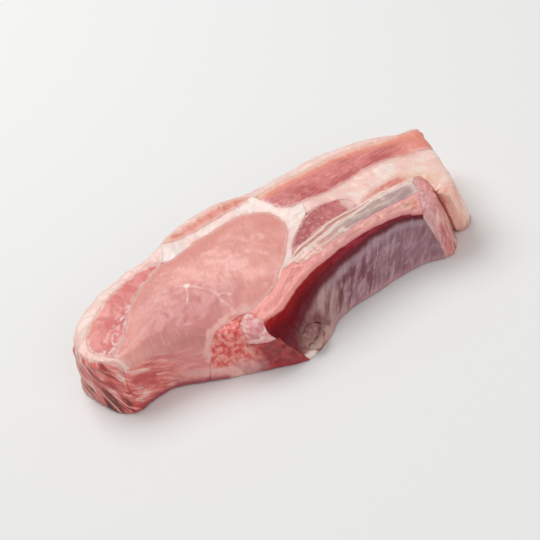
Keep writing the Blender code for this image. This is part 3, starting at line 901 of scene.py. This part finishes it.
# %% The belly's face
BELLY_PALE, BELLY_DEEP = (0.73, 0.225, 0.205), (0.56, 0.13, 0.125)
BELLY_STREAK, BELLY_ORANGE, BELLY_GLOW = (0.86, 0.40, 0.36), (0.87, 0.32, 0.23), (0.95, 0.62, 0.48)
BELLY_TIP, BELLY_TISSUE = (0.87, 0.31, 0.23), (0.88, 0.52, 0.47)

belly_sides = {"back": ("back_fat",), "inside": ("flap_fat", "seam_fat")}
belly = build("belly_lean", cut_relief, near=belly_sides)
f = Finish("belly_lean")
colour = muscle(f, BELLY_PALE, BELLY_DEEP, seed=4.0, turn=-65, contrast=1.5)
streaks = f.patches((9.0, 1.1, 3.0), 0.53, 0.66, seed=3.0, turn=20)
colour = f.mix(streaks * 0.5, colour, BELLY_STREAK)
back_side = f.ragged(f.attribute("back"), 6.5, 2.5, wander=2.2, size=6.0)
colour = f.mix(back_side * 0.85, colour, BELLY_ORANGE)
rim_glow = f.ragged(f.attribute("back"), 3.0, 0.4, wander=1.0, size=3.0)
colour = f.mix(rim_glow * 0.8, colour, BELLY_GLOW)
belly_end = f.ragged(f.x, 56.0, 72.0, wander=6.0, size=8.0)
colour = f.mix(belly_end * 0.75, colour, BELLY_TIP)
inside = f.ragged(f.attribute("inside"), 1.6, 0.2, wander=1.2, size=2.5)
colour = f.mix(inside * 0.7, colour, BELLY_TISSUE)
print("nodes in the belly's face:", len(f.tree.nodes))

# %% The belly's wall
HANGING_PALE, HANGING_RED = (0.93, 0.62, 0.54), (0.66, 0.17, 0.14)

wall = f.between(f.attribute("depth"), 0.8, 3.0)
hanging = f.noise((2.0, 2.0, 9.0), seed=3.0)
colour = f.mix(wall * f.between(hanging, 0.50, 0.64) * 0.75, colour, HANGING_PALE)
colour = f.mix(wall * f.between(hanging, 0.46, 0.36) * 0.5, colour, HANGING_RED)
f.paint(belly, colour)

# %% [markdown]
# ## Inside the ribs
#
# Between the seam fat and the rib lies a dark, coarse wedge of muscle, and then
# a thin orange strand. They could share one finish, as both are muscle with
# flecks of fat. But the wedge is the darkest muscle of all and the strand nearly
# orange, so each has its own, with flecks drawn out the way its bundles run.

# %% Inner wedge
WEDGE_PALE, WEDGE_DEEP, WEDGE_FLECK = (0.58, 0.165, 0.16), (0.45, 0.10, 0.105), (0.82, 0.38, 0.355)
WEDGE_END, WEDGE_TISSUE = (0.90, 0.62, 0.57), (0.86, 0.52, 0.47)

inner = build("inner_lean", cut_relief)
f = Finish("inner_lean")
colour = muscle(f, WEDGE_PALE, WEDGE_DEEP, seed=5.0, turn=-50, contrast=1.6)
flecks = f.patches((1.0, 1.8, 3.0), 0.55, 0.68, seed=2.0, turn=20)
colour = f.mix(flecks * 0.55, colour, WEDGE_FLECK)
colour = f.mix(spot(f, 37.0, 4.5, reach=5.0) * 0.85, colour, WEDGE_END)
f.paint(inner, tissue_edge(f, colour, reach=1.3, over=WEDGE_TISSUE, strength=0.65, seed=5.0))

# %% Strand
STRAND_PALE, STRAND_DEEP = (0.85, 0.36, 0.28), (0.72, 0.20, 0.16)
STRAND_FAT, STRAND_TISSUE = (0.92, 0.58, 0.47), (0.92, 0.60, 0.50)

strand = build("strand_lean", cut_relief)
f = Finish("strand_lean")
colour = muscle(f, STRAND_PALE, STRAND_DEEP, seed=6.0, turn=-65, contrast=1.3)
pale_bits = f.patches((3.0, 1.4, 3.0), 0.54, 0.64, seed=2.0, turn=20)
colour = f.mix(pale_bits * 0.45, colour, STRAND_FAT)
f.paint(strand, tissue_edge(f, colour, reach=1.2, over=STRAND_TISSUE, strength=0.6, seed=6.0))

# %% [markdown]
# ## The stump over the rib's end
#
# At the cut end of the rib a ragged stump of muscle hangs down in threads. Hair
# could make them, but they cling to the wall. They stand out enough to show in
# the outline, so they are in the mesh as well: waves nine millimetres tall and
# under two wide, deep on the wall and faint on the face.


# %% Stump
def stump_relief(point, normal, depth):
    """Torn fibres that hang down the end of the rib."""
    hanging = wave(point, (1.7, 1.7, 9.0), 2.0)
    return 0.10 * wave(point, 2.2) + (0.45 * hanging if depth > 1.5 else 0.1 * hanging)


STUMP_PALE, STUMP_DEEP, STUMP_MAUVE = (0.83, 0.36, 0.32), (0.66, 0.22, 0.20), (0.72, 0.46, 0.48)
THREAD_CREAM, THREAD_GAP = (0.93, 0.64, 0.52), (0.46, 0.10, 0.12)
GRAIN_PALE, GRAIN_DEEP = (0.90, 0.64, 0.58), (0.55, 0.12, 0.12)

end = build("end_lean", stump_relief)
f = Finish("end_lean")
colour = muscle(f, STUMP_PALE, STUMP_DEEP, seed=7.0, turn=-20, contrast=1.6)
hanging = f.noise((1.8, 1.8, 12.0), seed=3.0)
down = f.between(f.attribute("depth"), 1.0, 3.0)
colour = f.mix(f.between(hanging, 0.54, 0.66) * down * 0.75, colour, THREAD_CREAM)
colour = f.mix(f.between(hanging, 0.46, 0.36) * down * 0.75, colour, THREAD_GAP)
mauve = f.ragged(f.x, 66.0, 62.0, wander=2.0, size=3.0)
colour = f.mix(mauve * 0.5, colour, STUMP_MAUVE)
grains = f.noise((1.0, 1.3, 3.2), seed=4.0, detail=2.0)
colour = f.mix(f.between(grains, 0.54, 0.68) * 0.45, colour, GRAIN_PALE)
colour = f.mix(f.between(grains, 0.44, 0.34) * 0.45, colour, GRAIN_DEEP)
f.paint(end, colour)

# %% [markdown]
# ## The tip of the flap
#
# At the far right the flap's thin orange muscle turns down over the end. It
# pales at its outer side and near the fat, and is painted darker and browner at
# its foot, as shade. A gradient along x alone would cut straight across it, so
# the outer side is measured along a slanting line and made ragged.

# %% Tip of the flap
TIP_ORANGE, TIP_DEEP, TIP_FAT = (0.90, 0.44, 0.30), (0.80, 0.27, 0.18), (0.95, 0.66, 0.56)
TIP_OUTER, TIP_SPOT, TIP_FOOT_SHADE = (0.96, 0.70, 0.60), (0.70, 0.20, 0.14), (0.50, 0.12, 0.09)

flap = build("flap_lean", stump_relief)
f = Finish("flap_lean")
colour = muscle(f, TIP_ORANGE, TIP_DEEP, seed=8.0, turn=-20, contrast=1.2)
near_fat = f.ragged(f.attribute("seam"), 4.5, 0.5, wander=1.5, size=3.0)
colour = f.mix(near_fat * 0.8, colour, TIP_FAT)
outer = f.ragged(f.x - f.z * 0.25, 70.5, 75.0, wander=1.5, size=4.0)
colour = f.mix(outer * 0.8, colour, TIP_OUTER)
spots = f.patches((1.0, 1.0, 1.8), 0.58, 0.70, seed=4.0)
colour = f.mix(spots * 0.35, colour, TIP_SPOT)
# Painted shade: the tip darkens and browns at its foot, towards the board.
foot = f.ragged(f.z, 5.0, 0.5, wander=2.0, size=4.0)
colour = f.mix(foot * 0.6, colour, TIP_FOOT_SHADE)
f.paint(flap, colour)

# %% [markdown]
# ## The torn side
#
# The left wall is all torn strips that slant down towards the chine, with dark
# hollows between some of them. Here they are deep enough to need real relief. It
# uses the slant of the painted ribbons, so that both run the same way.


# %% Torn side
def strips_relief(point, normal, depth):
    """Ribbons that slant along the wall, with deep hollows between some of them."""
    along = (point.x - point.y) * DIAGONAL
    slanted = (along, point.x, point.z + SIDE_SLANT * along)
    ribbons = wave(slanted, (8.0, 9.0, 3.0))
    threads = wave(slanted, (6.0, 9.0, 1.3))
    hollows = noise.noise(Vector((along / 7.0 + 5.0, point.x / 7.0, slanted[2] / 4.5)))
    return 0.8 * ribbons + 0.35 * threads - 1.1 * max(0.0, hollows - 0.1)


HOLLOW_BROWN, SIDE_TAN, SIDE_TISSUE = (0.14, 0.035, 0.03), (0.75, 0.46, 0.39), (0.94, 0.70, 0.64)

side = build("side_lean", strips_relief)
f = Finish("side_lean", roughness=0.38, coat=0.3)
colour, ribbons, threads = ribbon_colour(f)
low_left = f.ragged(f.z + f.x * 0.5, -22.0, -29.0, wander=2.5, size=4.0)
colour = f.mix(f.between(ribbons, 0.48, 0.40) * (low_left * 0.7 + 0.25), colour, HOLLOW_BROWN)
far_left = f.ragged(f.x, -74.0, -78.0, wander=2.0, size=5.0)
colour = f.mix(far_left * 0.6, colour, SIDE_TAN)
f.bump(ribbons * 0.8 + threads * 0.4, 0.6)
f.paint(side, tissue_edge(f, colour, reach=1.4, over=SIDE_TISSUE, strength=0.7, seed=12.0))

# %% [markdown]
# ## Fat
#
# Fat is nearly white and a little creamy, with a faint grain of lobules. One
# even cream would look like wax, because fat takes up blood: wherever it meets
# muscle it turns pink, most of all in thin seams. So each fat measures how far
# the nearest muscle is, and one function makes the finish that all three share.

# %% Fat
BLUSH = (0.90, 0.49, 0.43)
LOBULES = 0.55      # lobules in a millimetre
LEAN_NODES = ("loin_eye", "cap_lean", "strip_lean", "belly_lean", "inner_lean", "strand_lean",
              "side_lean", "end_lean", "flap_lean")
near_lean = {"lean": LEAN_NODES}


def fat_relief(point, normal, depth):
    """Soft lobules and dents."""
    return 0.10 * wave(point, 2.0, 3.0) + 0.16 * wave(point, 5.0, 5.0)


def fat(name, clean, tinged, blush_reach, strength=0.6):
    """A finish for fat, and its colour: clean or tinged, and pink near muscle."""
    f = Finish(name, roughness=0.36, coat=0.3, depth=0.25)
    colour = f.mix(f.patches(7.0, 0.40, 0.64, seed=1.0), clean, tinged)
    lobules = f.node("ShaderNodeTexVoronoi", {"feature": "SMOOTH_F1"},
                     {"Vector": f.place, "Scale": LOBULES})
    small = f.noise(1.1, seed=2.0)
    colour = f.shade(colour, (small - 0.5) * 0.16 + 1.0)
    near = f.ragged(f.attribute("lean"), blush_reach, 0.0, wander=1.5, size=3.0, seed=3.0)
    colour = f.mix(near * strength, colour, BLUSH)
    colour = f.mix(f.patches(4.5, 0.60, 0.72, seed=6.0) * 0.35, colour, BLUSH)
    f.bump(lobules * 0.22 + small * 0.2)
    return f, colour


print("muscles that tinge the fat:", len(LEAN_NODES))

# %% [markdown]
# ## The fat along the back
#
# This is the thick outer layer, trimmed by a knife. Its wall keeps faint lines
# along the cut and yellows on its far side. At the chop's left corner the torn
# strips of the side run on into it. They could end at the seam, but that would
# show as a straight edge, so the fat takes their colours for a few millimetres.

# %% Back fat
BACK_CLEAN, BACK_TINGED = (0.975, 0.72, 0.645), (0.95, 0.62, 0.55)
KNIFE_LINE, BACK_YELLOW = (0.90, 0.60, 0.50), (0.93, 0.66, 0.53)

back_fat = build("back_fat", fat_relief, near=near_lean | {"side": ("side_lean",)})
f, colour = fat("back_fat", BACK_CLEAN, BACK_TINGED, blush_reach=2.2)
wall = f.between(f.attribute("depth"), 0.8, 3.5)
knife_lines = f.patches((9.0, 9.0, 2.2), 0.46, 0.66, seed=4.0)
colour = f.mix(wall * knife_lines * 0.55, colour, KNIFE_LINE)
outward = f.ragged(f.y, 8.0, 22.0, wander=4.0, size=8.0)
colour = f.mix(outward * wall * 0.5, colour, BACK_YELLOW)
near_side = f.ragged(f.attribute("side"), 6.0, 3.0, wander=1.5, size=3.0)
torn = near_side * f.ragged(f.attribute("depth"), 2.0, 5.0, wander=2.0, size=3.0)
colour = f.mix(torn * f.between(f.x, -70.0, -66.0), colour, ribbon_colour(f)[0])
f.paint(back_fat, colour)

# %% [markdown]
# ## Seam fat and the fat of the flap
#
# The seam fat is whiter and gleams at one place, where it is nearly all tissue.
# The fat of the flap blushes further in from its muscles than the others do,
# and has an orange patch towards its end and a pink stain. Both fats could be
# given as new finishes, but they differ from the back fat only in their values,
# so the same function makes them.

# %% Seam fat
SEAM_CLEAN, SEAM_TINGED, TISSUE_GLEAM = (0.96, 0.78, 0.72), (0.94, 0.67, 0.61), (0.93, 0.83, 0.83)

seam_fat = build("seam_fat", fat_relief, near=near_lean)
f, colour = fat("seam_fat", SEAM_CLEAN, SEAM_TINGED, blush_reach=1.3)
colour = f.mix(spot(f, -34.5, 8.5, reach=5.0, stretch=2.4, turn=35) * 0.8, colour, TISSUE_GLEAM)
f.paint(seam_fat, colour)

# %% Flap fat
FLAP_CLEAN, FLAP_TINGED = (0.98, 0.765, 0.695), (0.96, 0.62, 0.54)
FLAP_FAT_ORANGE, STAIN_PINK = (0.87, 0.52, 0.36), (0.90, 0.56, 0.50)

flap_fat = build("flap_fat", fat_relief, near=near_lean)
f, colour = fat("flap_fat", FLAP_CLEAN, FLAP_TINGED, blush_reach=3.2, strength=0.8)
colour = f.mix(spot(f, 64, 1.5, reach=7.5, stretch=2.0, turn=-50) * 0.75, colour, FLAP_FAT_ORANGE)
colour = f.mix(spot(f, 28, 11, reach=8.0, stretch=1.8, turn=20) * 0.5, colour, STAIN_PINK)
f.paint(flap_fat, colour)

# %% [markdown]
# ## Gristle beside the rib
#
# A band of gristle runs along the rib's inner side: two cream cords with a
# brown trough between them. They could be three solids, but they are one
# strap. So the distance to the band's own edges tells cord from trough.

# %% Gristle band
ALONG_RIB = 24      # the rib's direction, in degrees
BAND_BROWN, BAND_CREAM = (0.66, 0.29, 0.24), (0.94, 0.62, 0.54)
TROUGH, CORD = (0.50, 0.23, 0.17), (0.97, 0.73, 0.66)


def cord_relief(point, normal, depth):
    """Low, soft lumps."""
    return 0.07 * wave(point, 3.0) + 0.04 * wave(point, 1.2, 2.0)


gristle = build("gristle_band", cord_relief)
f = Finish("gristle_band", roughness=0.34, coat=0.35)
fibres = f.noise((14.0, 1.1, 3.0), seed=2.0, turn=ALONG_RIB, detail=2.0)
colour = f.mix(f.between(fibres, 0.42, 0.58), BAND_BROWN, BAND_CREAM)
trough = f.ragged(f.attribute("seam"), 1.0, 1.7, wander=0.4, size=3.0)
colour = f.mix(trough * 0.7, colour, TROUGH)
cord = f.ragged(f.attribute("seam"), 1.1, 0.7, wander=0.2, size=3.0, seed=5.0)
colour = f.mix(cord * 0.85, colour, CORD)
f.bump(fibres * 0.4)
f.paint(gristle, colour)

# %% [markdown]
# ## The split rib
#
# The saw split the rib lengthwise, so it shows as a smooth blue-grey bar across
# the face, streaked along its length. Towards the eye meat still clings to it
# and it turns pink, and at its cut end it is mauve. A wood grain is made in the
# same way, with rings bent by noise, but a sawn bone has no rings. Noise turned
# along the rib and drawn out sixteen times is enough.

# %% Rib bone
BONE_DARK, BONE_LIGHT, BONE_MAUVE = (0.43, 0.275, 0.255), (0.60, 0.42, 0.38), (0.44, 0.29, 0.32)
CLING_RED, CLING_PINK = (0.74, 0.35, 0.29), (0.92, 0.62, 0.52)
BONE_CREAM, BONE_EDGE, BONE_END = (0.82, 0.62, 0.52), (0.90, 0.72, 0.66), (0.85, 0.60, 0.58)

rib = build("rib_bone", cord_relief, near={"upper": ("gristle_band",)})
f = Finish("rib_bone", roughness=0.3, coat=0.4, depth=0.12)
streaks = f.noise((16.0, 1.0, 3.0), seed=1.0, turn=ALONG_RIB)
colour = f.mix(f.between(streaks, 0.32, 0.70), BONE_DARK, BONE_LIGHT)
mauve = f.patches((8.0, 3.0, 3.0), 0.50, 0.64, seed=9.0, turn=ALONG_RIB, detail=2.0)
colour = f.mix(mauve * 0.6, colour, BONE_MAUVE)
clinging = f.mix(f.between(streaks, 0.42, 0.60), CLING_RED, CLING_PINK)
colour = f.mix(f.ragged(f.x, 36.0, 18.0, wander=5.0, size=8.0) * 0.9, colour, clinging)
cream = f.patches((9.0, 1.6, 3.0), 0.52, 0.64, seed=4.0, turn=ALONG_RIB)
colour = f.mix(cream * 0.6, colour, BONE_CREAM)
upper = f.ragged(f.attribute("upper"), 1.2, 0.3, wander=0.4, size=2.5)
colour = f.mix(upper * 0.8, colour, BONE_EDGE)
colour = f.mix(f.ragged(f.x, 58.5, 61.0, wander=1.0, size=2.0) * 0.75, colour, BONE_END)
f.bump(streaks * 0.35)
f.paint(rib, colour)

# %% [markdown]
# ## Under the rib
#
# The near wall is the inside of the rib cage. A pink rim hangs over a smooth,
# deep red hollow, and below that a thin purple membrane is stretched down to
# the board, wrinkled and streaked by what lies under it. The hollow's curve is
# in the solid already. Cloth could make the membrane, but it is stuck fast to
# the meat, so waves along its slant make its wrinkles, and only below the
# hollow.

# %% The lining's shape
MEMBRANE_SLANT = 0.55
HOLLOW_END = 59.0       # the hollow ends here, at the rib's cut end, in mm


def hollow_reach(x):
    """How far down the red hollow reaches at a place along the wall, in mm."""
    away = (HOLLOW_END - x) * (1 / HOLLOW_END)
    return away * (away * 2.5 + 4.5) + 2.6


def lining_relief(point, normal, depth):
    """Wrinkles that run down the membrane, and lumps at its left root."""
    if depth < 1.0:
        return 0.10 * wave(point, (4.0, 1.5, 3.0)) + 0.10 * wave(point, 4.5)
    down = max(0.0, min(1.0, (depth - hollow_reach(point.x)) / 3.0))
    slanted = (point.x - MEMBRANE_SLANT * point.z, point.y, point.z)
    wrinkles = wave(slanted, (2.8, 6.0, 11.0))
    lumps = wave(point, 3.6, 4.0) * max(0.0, min(1.0, (16.0 - point.x) / 8.0))
    return down * (0.5 * wrinkles + 0.28 * lumps + 0.08 * wave(point, 1.4))


lining_sides = {"eye": ("loin_eye",), "head": ("rib_head",)}
lining = build("rib_lean", lining_relief, near=lining_sides)

# %% [markdown]
# ## The membrane
#
# Dark meat, pale tendons and blood show through the membrane in streaks that
# lean with its wrinkles. A transparent sheet over a second surface would be
# nearer to the real thing, but it shows nothing that colour can't. So the
# streaks are three noises of different sizes on slanted coordinates. Towards
# the left it turns tan over the rib's head, and its root there is nearly black.

# %% Streaks of the membrane
STREAK_DARK, STREAK_MAUVE = (0.20, 0.045, 0.065), (0.36, 0.175, 0.21)
THIN_PALE, THIN_DARK = (0.58, 0.38, 0.42), (0.14, 0.02, 0.035)
LUMP_PALE_AND_SHEEN, LUMP_DARK = (0.56, 0.37, 0.40), (0.19, 0.03, 0.045)
CORNER_DARK, RIGHT_MAUVE = (0.26, 0.05, 0.08), (0.46, 0.29, 0.33)

f = Finish("rib_lining", roughness=0.34, coat=0.35, depth=0.15)
slanted = f.vector(f.x - f.z * MEMBRANE_SLANT, f.y, f.z)
broad = f.noise((3.4, 8.0, 16.0), seed=1.0, place=slanted)
thin = f.noise((1.5, 5.0, 8.0), seed=6.0, detail=4.0, place=slanted)
lumps = f.noise((3.0, 6.0, 4.0), seed=9.0, place=slanted)
membrane = f.mix(f.between(broad, 0.38, 0.60), STREAK_DARK, STREAK_MAUVE)
membrane = f.mix(f.between(thin, 0.53, 0.66) * 0.7, membrane, THIN_PALE)
membrane = f.mix(f.between(thin, 0.46, 0.34) * 0.7, membrane, THIN_DARK)
# The pale lavender lumps are partly the membrane's own tone and partly painted wet highlights.
membrane = f.mix(f.between(lumps, 0.54, 0.66) * 0.6, membrane, LUMP_PALE_AND_SHEEN)
membrane = f.mix(f.between(lumps, 0.44, 0.34) * 0.6, membrane, LUMP_DARK)
corner = spot(f, 57, -12, reach=7.0) * f.between(f.z, 3.0, 8.0)
membrane = f.mix(corner * 0.35, membrane, CORNER_DARK)
right_half = f.ragged(f.x, 26.0, 42.0, wander=5.0, size=6.0)
membrane = f.mix(right_half * 0.35, membrane, RIGHT_MAUVE)
print("nodes in the streaks:", len(f.tree.nodes))

# %% The membrane's left root and foot
LEFT_BROWN, LEFT_TAN = (0.30, 0.12, 0.11), (0.56, 0.36, 0.31)
ROOT_BLACK, SKIRT_PINK, FOOT_CRIMSON = (0.17, 0.002, 0.009), (0.62, 0.34, 0.35), (0.26, 0.008, 0.015)
HEAD_BROWN, HEAD_TAN, HEAD_PATCH = (0.31, 0.135, 0.12), (0.60, 0.40, 0.33), (0.20, 0.05, 0.05)


def head_colour(f):
    """Cartilage: tan, paler towards the board, with brown patches."""
    tan = f.mix(f.ragged(f.z, 8.0, 2.0, wander=2.0, size=4.0), HEAD_BROWN, HEAD_TAN)
    return f.mix(f.patches(3.4, 0.50, 0.64, seed=1.0) * 0.75, tan, HEAD_PATCH)


left = f.ragged(f.x, 28.0, 12.0, wander=4.0, size=5.0)
left_colour = f.mix(f.between(broad, 0.40, 0.60), LEFT_BROWN, LEFT_TAN)
membrane = f.mix(left * 0.8, membrane, left_colour)
around = f.ragged(f.attribute("head"), 7.0, 1.5, wander=2.5, size=4.0)
membrane = f.mix(around * 0.9, membrane, head_colour(f))
root = f.ragged(f.x + f.z * 0.3, 6.0, 2.0, wander=1.5, size=4.0)
membrane = f.mix(root * 0.9, membrane, ROOT_BLACK)
skirt = f.ragged(f.z, 4.0, 0.8, wander=1.5, size=4.0)
membrane = f.mix(skirt * 0.6, membrane, SKIRT_PINK)
foot = f.ragged(f.z, 2.6, 1.2, wander=0.8, size=3.0, seed=2.0)
foot_left = f.ragged(f.x, 12.0, 8.0, wander=2.0, size=3.0)
membrane = f.mix(foot * foot_left * 0.85, membrane, FOOT_CRIMSON)
print("nodes with the root and foot:", len(f.tree.nodes))

# %% [markdown]
# ## The hollow
#
# The hollow is smooth and wet, the deepest red of the whole chop. Its dark red
# is partly the meat's own and partly painted shade under the rim, darker further
# down, and it is brighter to the right, where more light gets in. It ends along
# a wandering line. There the membrane starts, brown at first, over a pale ridge.
# The line could be a height above the board, but the hollow is deeper on the
# left. It is the measured depth less the hollow's reach, so it follows the curve
# in the solid.

# %% The hollow
HOLLOW_RED, HOLLOW_DEEP_SHADE = (0.34, 0.0, 0.002), (0.15, 0.0, 0.006)
BRIGHT_DEEP, BRIGHT_RED = (0.22, 0.003, 0.012), (0.42, 0.03, 0.055)
RIDGE_MAUVE, START_BROWN = (0.52, 0.36, 0.40), (0.15, 0.018, 0.03)

depth = f.attribute("depth")
line = f.uneven(depth - hollow_reach(f.x), wander=0.7, size=4.0)
# The hollow's dark red is the meat's own and painted shade under the rim; it is painted darker
# further down.
hollow = f.mix(f.between(depth, 1.6, 6.5), HOLLOW_RED, HOLLOW_DEEP_SHADE)
bright = f.mix(f.patches((6.0, 3.0, 1.5), 0.40, 0.62, seed=3.0, detail=2.0),
               BRIGHT_DEEP, BRIGHT_RED)
hollow = f.mix(f.between(f.x, 12.0, 34.0) * 0.9, hollow, bright)
ridge = f.between(line, 1.0, 2.6) * f.between(line, 5.5, 3.5) * f.between(f.x, 5.0, 25.0)
membrane = f.mix(ridge * 0.5, membrane, RIDGE_MAUVE)
below = f.mix(f.between(line, 0.6, 3.0), START_BROWN, membrane)
wall = f.mix(f.between(line, -1.6, 0.8), hollow, below)
print("the hollow reaches down, in mm:", round(hollow_reach(0.0), 1), round(hollow_reach(50.0), 1))

# %% [markdown]
# ## The rim over the hollow
#
# The rim's face is cut muscle, with pale cords across it and a red strip along
# the eye. To the right it thins out over the bone into brown and cream bits. Its
# lower edge is a bead of fat. A bevel in its own material would be even all
# along, so the distance to the open wall draws it instead, wider to the left. A
# white tip of bone peeps out at the near corner.

# %% The rim
RIM_PALE, RIM_DEEP, RIM_CORD = (0.84, 0.33, 0.29), (0.73, 0.20, 0.175), (0.92, 0.56, 0.49)
EYE_STRIP, BIT_BROWN, BIT_CREAM = (0.74, 0.13, 0.10), (0.55, 0.27, 0.20), (0.84, 0.53, 0.42)
BIT_RED, BEAD_SALMON, BEAD_PINK = (0.74, 0.20, 0.15), (0.92, 0.37, 0.32), (0.87, 0.37, 0.37)
BONE_TIP = (0.96, 0.78, 0.71)

colour = muscle(f, RIM_PALE, RIM_DEEP, seed=9.0, turn=-60, contrast=1.2)
cords = f.patches((10.0, 1.0, 3.0), 0.52, 0.64, seed=4.0, turn=42)
colour = f.mix(cords * 0.5, colour, RIM_CORD)
along_eye = f.uneven(f.attribute("eye"), wander=0.8, size=3.0, seed=7.0)
red_strip = f.between(along_eye, 0.5, 1.3) * f.between(along_eye, 3.6, 2.4)
colour = f.mix(red_strip * 0.65, colour, EYE_STRIP)
bits = f.mix(f.patches((7.0, 2.0, 2.0), 0.40, 0.60, seed=8.0, turn=25), BIT_BROWN, BIT_CREAM)
bits = f.mix(f.patches(3.0, 0.56, 0.66, seed=12.0) * 0.6, bits, BIT_RED)
right = f.ragged(f.x, 14.0, 26.0, wander=3.0, size=5.0) * f.between(depth, 1.4, 0.4)
colour = f.mix(right * 0.85, colour, bits)
bead_width = f.between(f.x, 24.0, 6.0) * 0.7 + 1.9
from_wall = f.uneven(f.attribute("edge"), wander=0.4, size=3.0, seed=2.0)
bead = f.between(from_wall - bead_width, 0.9, 0.0)
bead_colour = f.mix(f.between(f.x, 6.0, 24.0), BEAD_SALMON, BEAD_PINK)
colour = f.mix(bead * 0.75, colour, bead_colour)
print("nodes with the rim:", len(f.tree.nodes))

# %% Joining rim, hollow and membrane
RIM_COAT = 0.25
MEMBRANE_COAT = 0.12
DULLER = 0.2

colour = f.mix(f.ragged(depth, 0.9, 1.9, wander=0.2, size=3.0), colour, wall)
tip = spot(f, 4.5, -42.5, reach=4.0) * f.between(f.z, 3.2, 2.0)
colour = f.mix(tip, colour, BONE_TIP)
# There is no coat in the hollow, where it would mirror the pale floor and grey the red.
on_rim, on_membrane = f.between(depth, 1.6, 0.8), f.between(line, 1.0, 4.0)
f.set("Coat Weight", on_rim * RIM_COAT + on_membrane * MEMBRANE_COAT)
f.set("Specular IOR Level", DULLER)
f.paint(lining, colour)

# %% [markdown]
# ## The chine bone
#
# At the near corner the saw went through the backbone. The marrow's finish is
# ready. The bone lies on the other side of the seam from the eye, so it counts
# the distance to the eye as negative. Its spongy lumps catch the light. A bump
# alone would leave the sawn edge a clean curve, so they are in the mesh too.


# %% Chine bone
def marrow_relief(point, normal, depth):
    """Spongy lumps."""
    return 0.5 * wave(point, 3.4) + 0.28 * wave(point, 1.5, 4.0)


chine = build("chine_bone", marrow_relief, near={"eye": ("loin_eye",)})
f = Finish("chine_marrow", roughness=0.34, coat=0.25)
colour, reach, sponge = marrow_colour(f, 0.0 - f.attribute("eye"))
f.set("Specular IOR Level", 0.25)
f.bump(sponge * 0.9, 0.6)
f.paint(chine, colour)

# %% [markdown]
# ## Gristle on the chine
#
# Above the marrow sits a small cushion of gristle with a broken, whitish curl in
# it. A curl could be drawn as a curve, but it follows the cushion's outline. So
# it is a band at an even distance from the edge, and noise breaks it up.

# %% Chine gristle
CUSHION_RED, CUSHION_PINK, CURL = (0.80, 0.25, 0.24), (0.90, 0.52, 0.49), (0.96, 0.70, 0.66)
CUSHION_HEART, CUSHION_EDGE = (0.66, 0.24, 0.27), (0.88, 0.33, 0.29)

cushion = build("chine_gristle", cord_relief)
f = Finish("chine_gristle", roughness=0.32, coat=0.4)
swirl = f.noise((1.2, 3.4, 2.0), seed=1.0, turn=35, detail=2.0)
colour = f.mix(f.between(swirl, 0.42, 0.58), CUSHION_RED, CUSHION_PINK)
inside = f.uneven(f.attribute("seam"), wander=1.3, size=2.2)
curl = f.between(inside, 0.7, 1.4) * f.between(inside, 2.6, 1.8)
unbroken = f.patches(2.6, 0.38, 0.54, seed=3.0, detail=2.0)
colour = f.mix(curl * unbroken * 0.7, colour, CURL)
colour = f.mix(f.between(inside, 2.2, 3.2) * 0.6, colour, CUSHION_HEART)
colour = f.mix(f.between(inside, 0.9, 0.0) * 0.5, colour, CUSHION_EDGE)
f.bump(swirl * 0.6 + curl * 0.5)
f.paint(cushion, colour)

# %% [markdown]
# ## The rib's head
#
# Low in the hollow sits the head of the rib: a wrinkled knob of cartilage with a
# slit across it. A sphere would look like a bead. The solid is swollen a little
# and unevenly until it fills its socket, and the slit is cut by lowering the
# points near a wavy line. The same line darkens it in the finish.

# %% The knob's shape
KNOB_FILL = 0.6      # the knob fills its socket by this much, in mm
SLIT_HEIGHT = 2.4
SLIT_RISE = 0.5
SLIT_DEPTH = 0.6
SLIT_WIDTH = 0.8


def knob_relief(point, normal, depth):
    """A wrinkled knob with a slit across it."""
    slit = abs(point.z - SLIT_RISE * point.x - SLIT_HEIGHT + wave(point, 2.0))
    lumps = 1.4 * wave(point, 4.2) + 0.15 * wave(point, 1.4, 2.0)
    return KNOB_FILL + lumps - SLIT_DEPTH * max(0.0, 1.0 - slit / SLIT_WIDTH)


head = build("rib_head", knob_relief, near={"socket": ("rib_lean",)})

# %% The knob's finish
SLIT_BROWN, CREASE_BROWN = (0.13, 0.02, 0.015), (0.24, 0.09, 0.08)

f = Finish("rib_head", roughness=0.34, coat=0.35)
colour = head_colour(f)
level = f.uneven(f.z - f.x * SLIT_RISE, wander=1.1, size=2.2) - SLIT_HEIGHT
slit = f.between(level, -1.2, -0.2) * f.between(level, 1.2, 0.2)
open_part = f.patches(2.4, 0.40, 0.52, seed=5.0, detail=2.0)
colour = f.mix(slit * open_part * 0.85, colour, SLIT_BROWN)
crease = f.ragged(f.attribute("socket"), 1.2, 0.3, wander=0.8, size=1.8, seed=3.0)
colour = f.mix(crease * 0.5, colour, CREASE_BROWN)
f.bump(f.noise(2.0, seed=2.0) * 0.5)
f.paint(head, colour)

# %% [markdown]
# ## Sizes and the end
#
# The box of the finished pieces is compared with the solid model's, to see that
# nothing stands proud of it.

# %% Sizes and the end
made_low, made_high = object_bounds()
grown = (CAD_LOW - made_low, made_high - CAD_HIGH)
print("grown by, in mm:", [[round(c / MM, 2) for c in corner] for corner in grown])
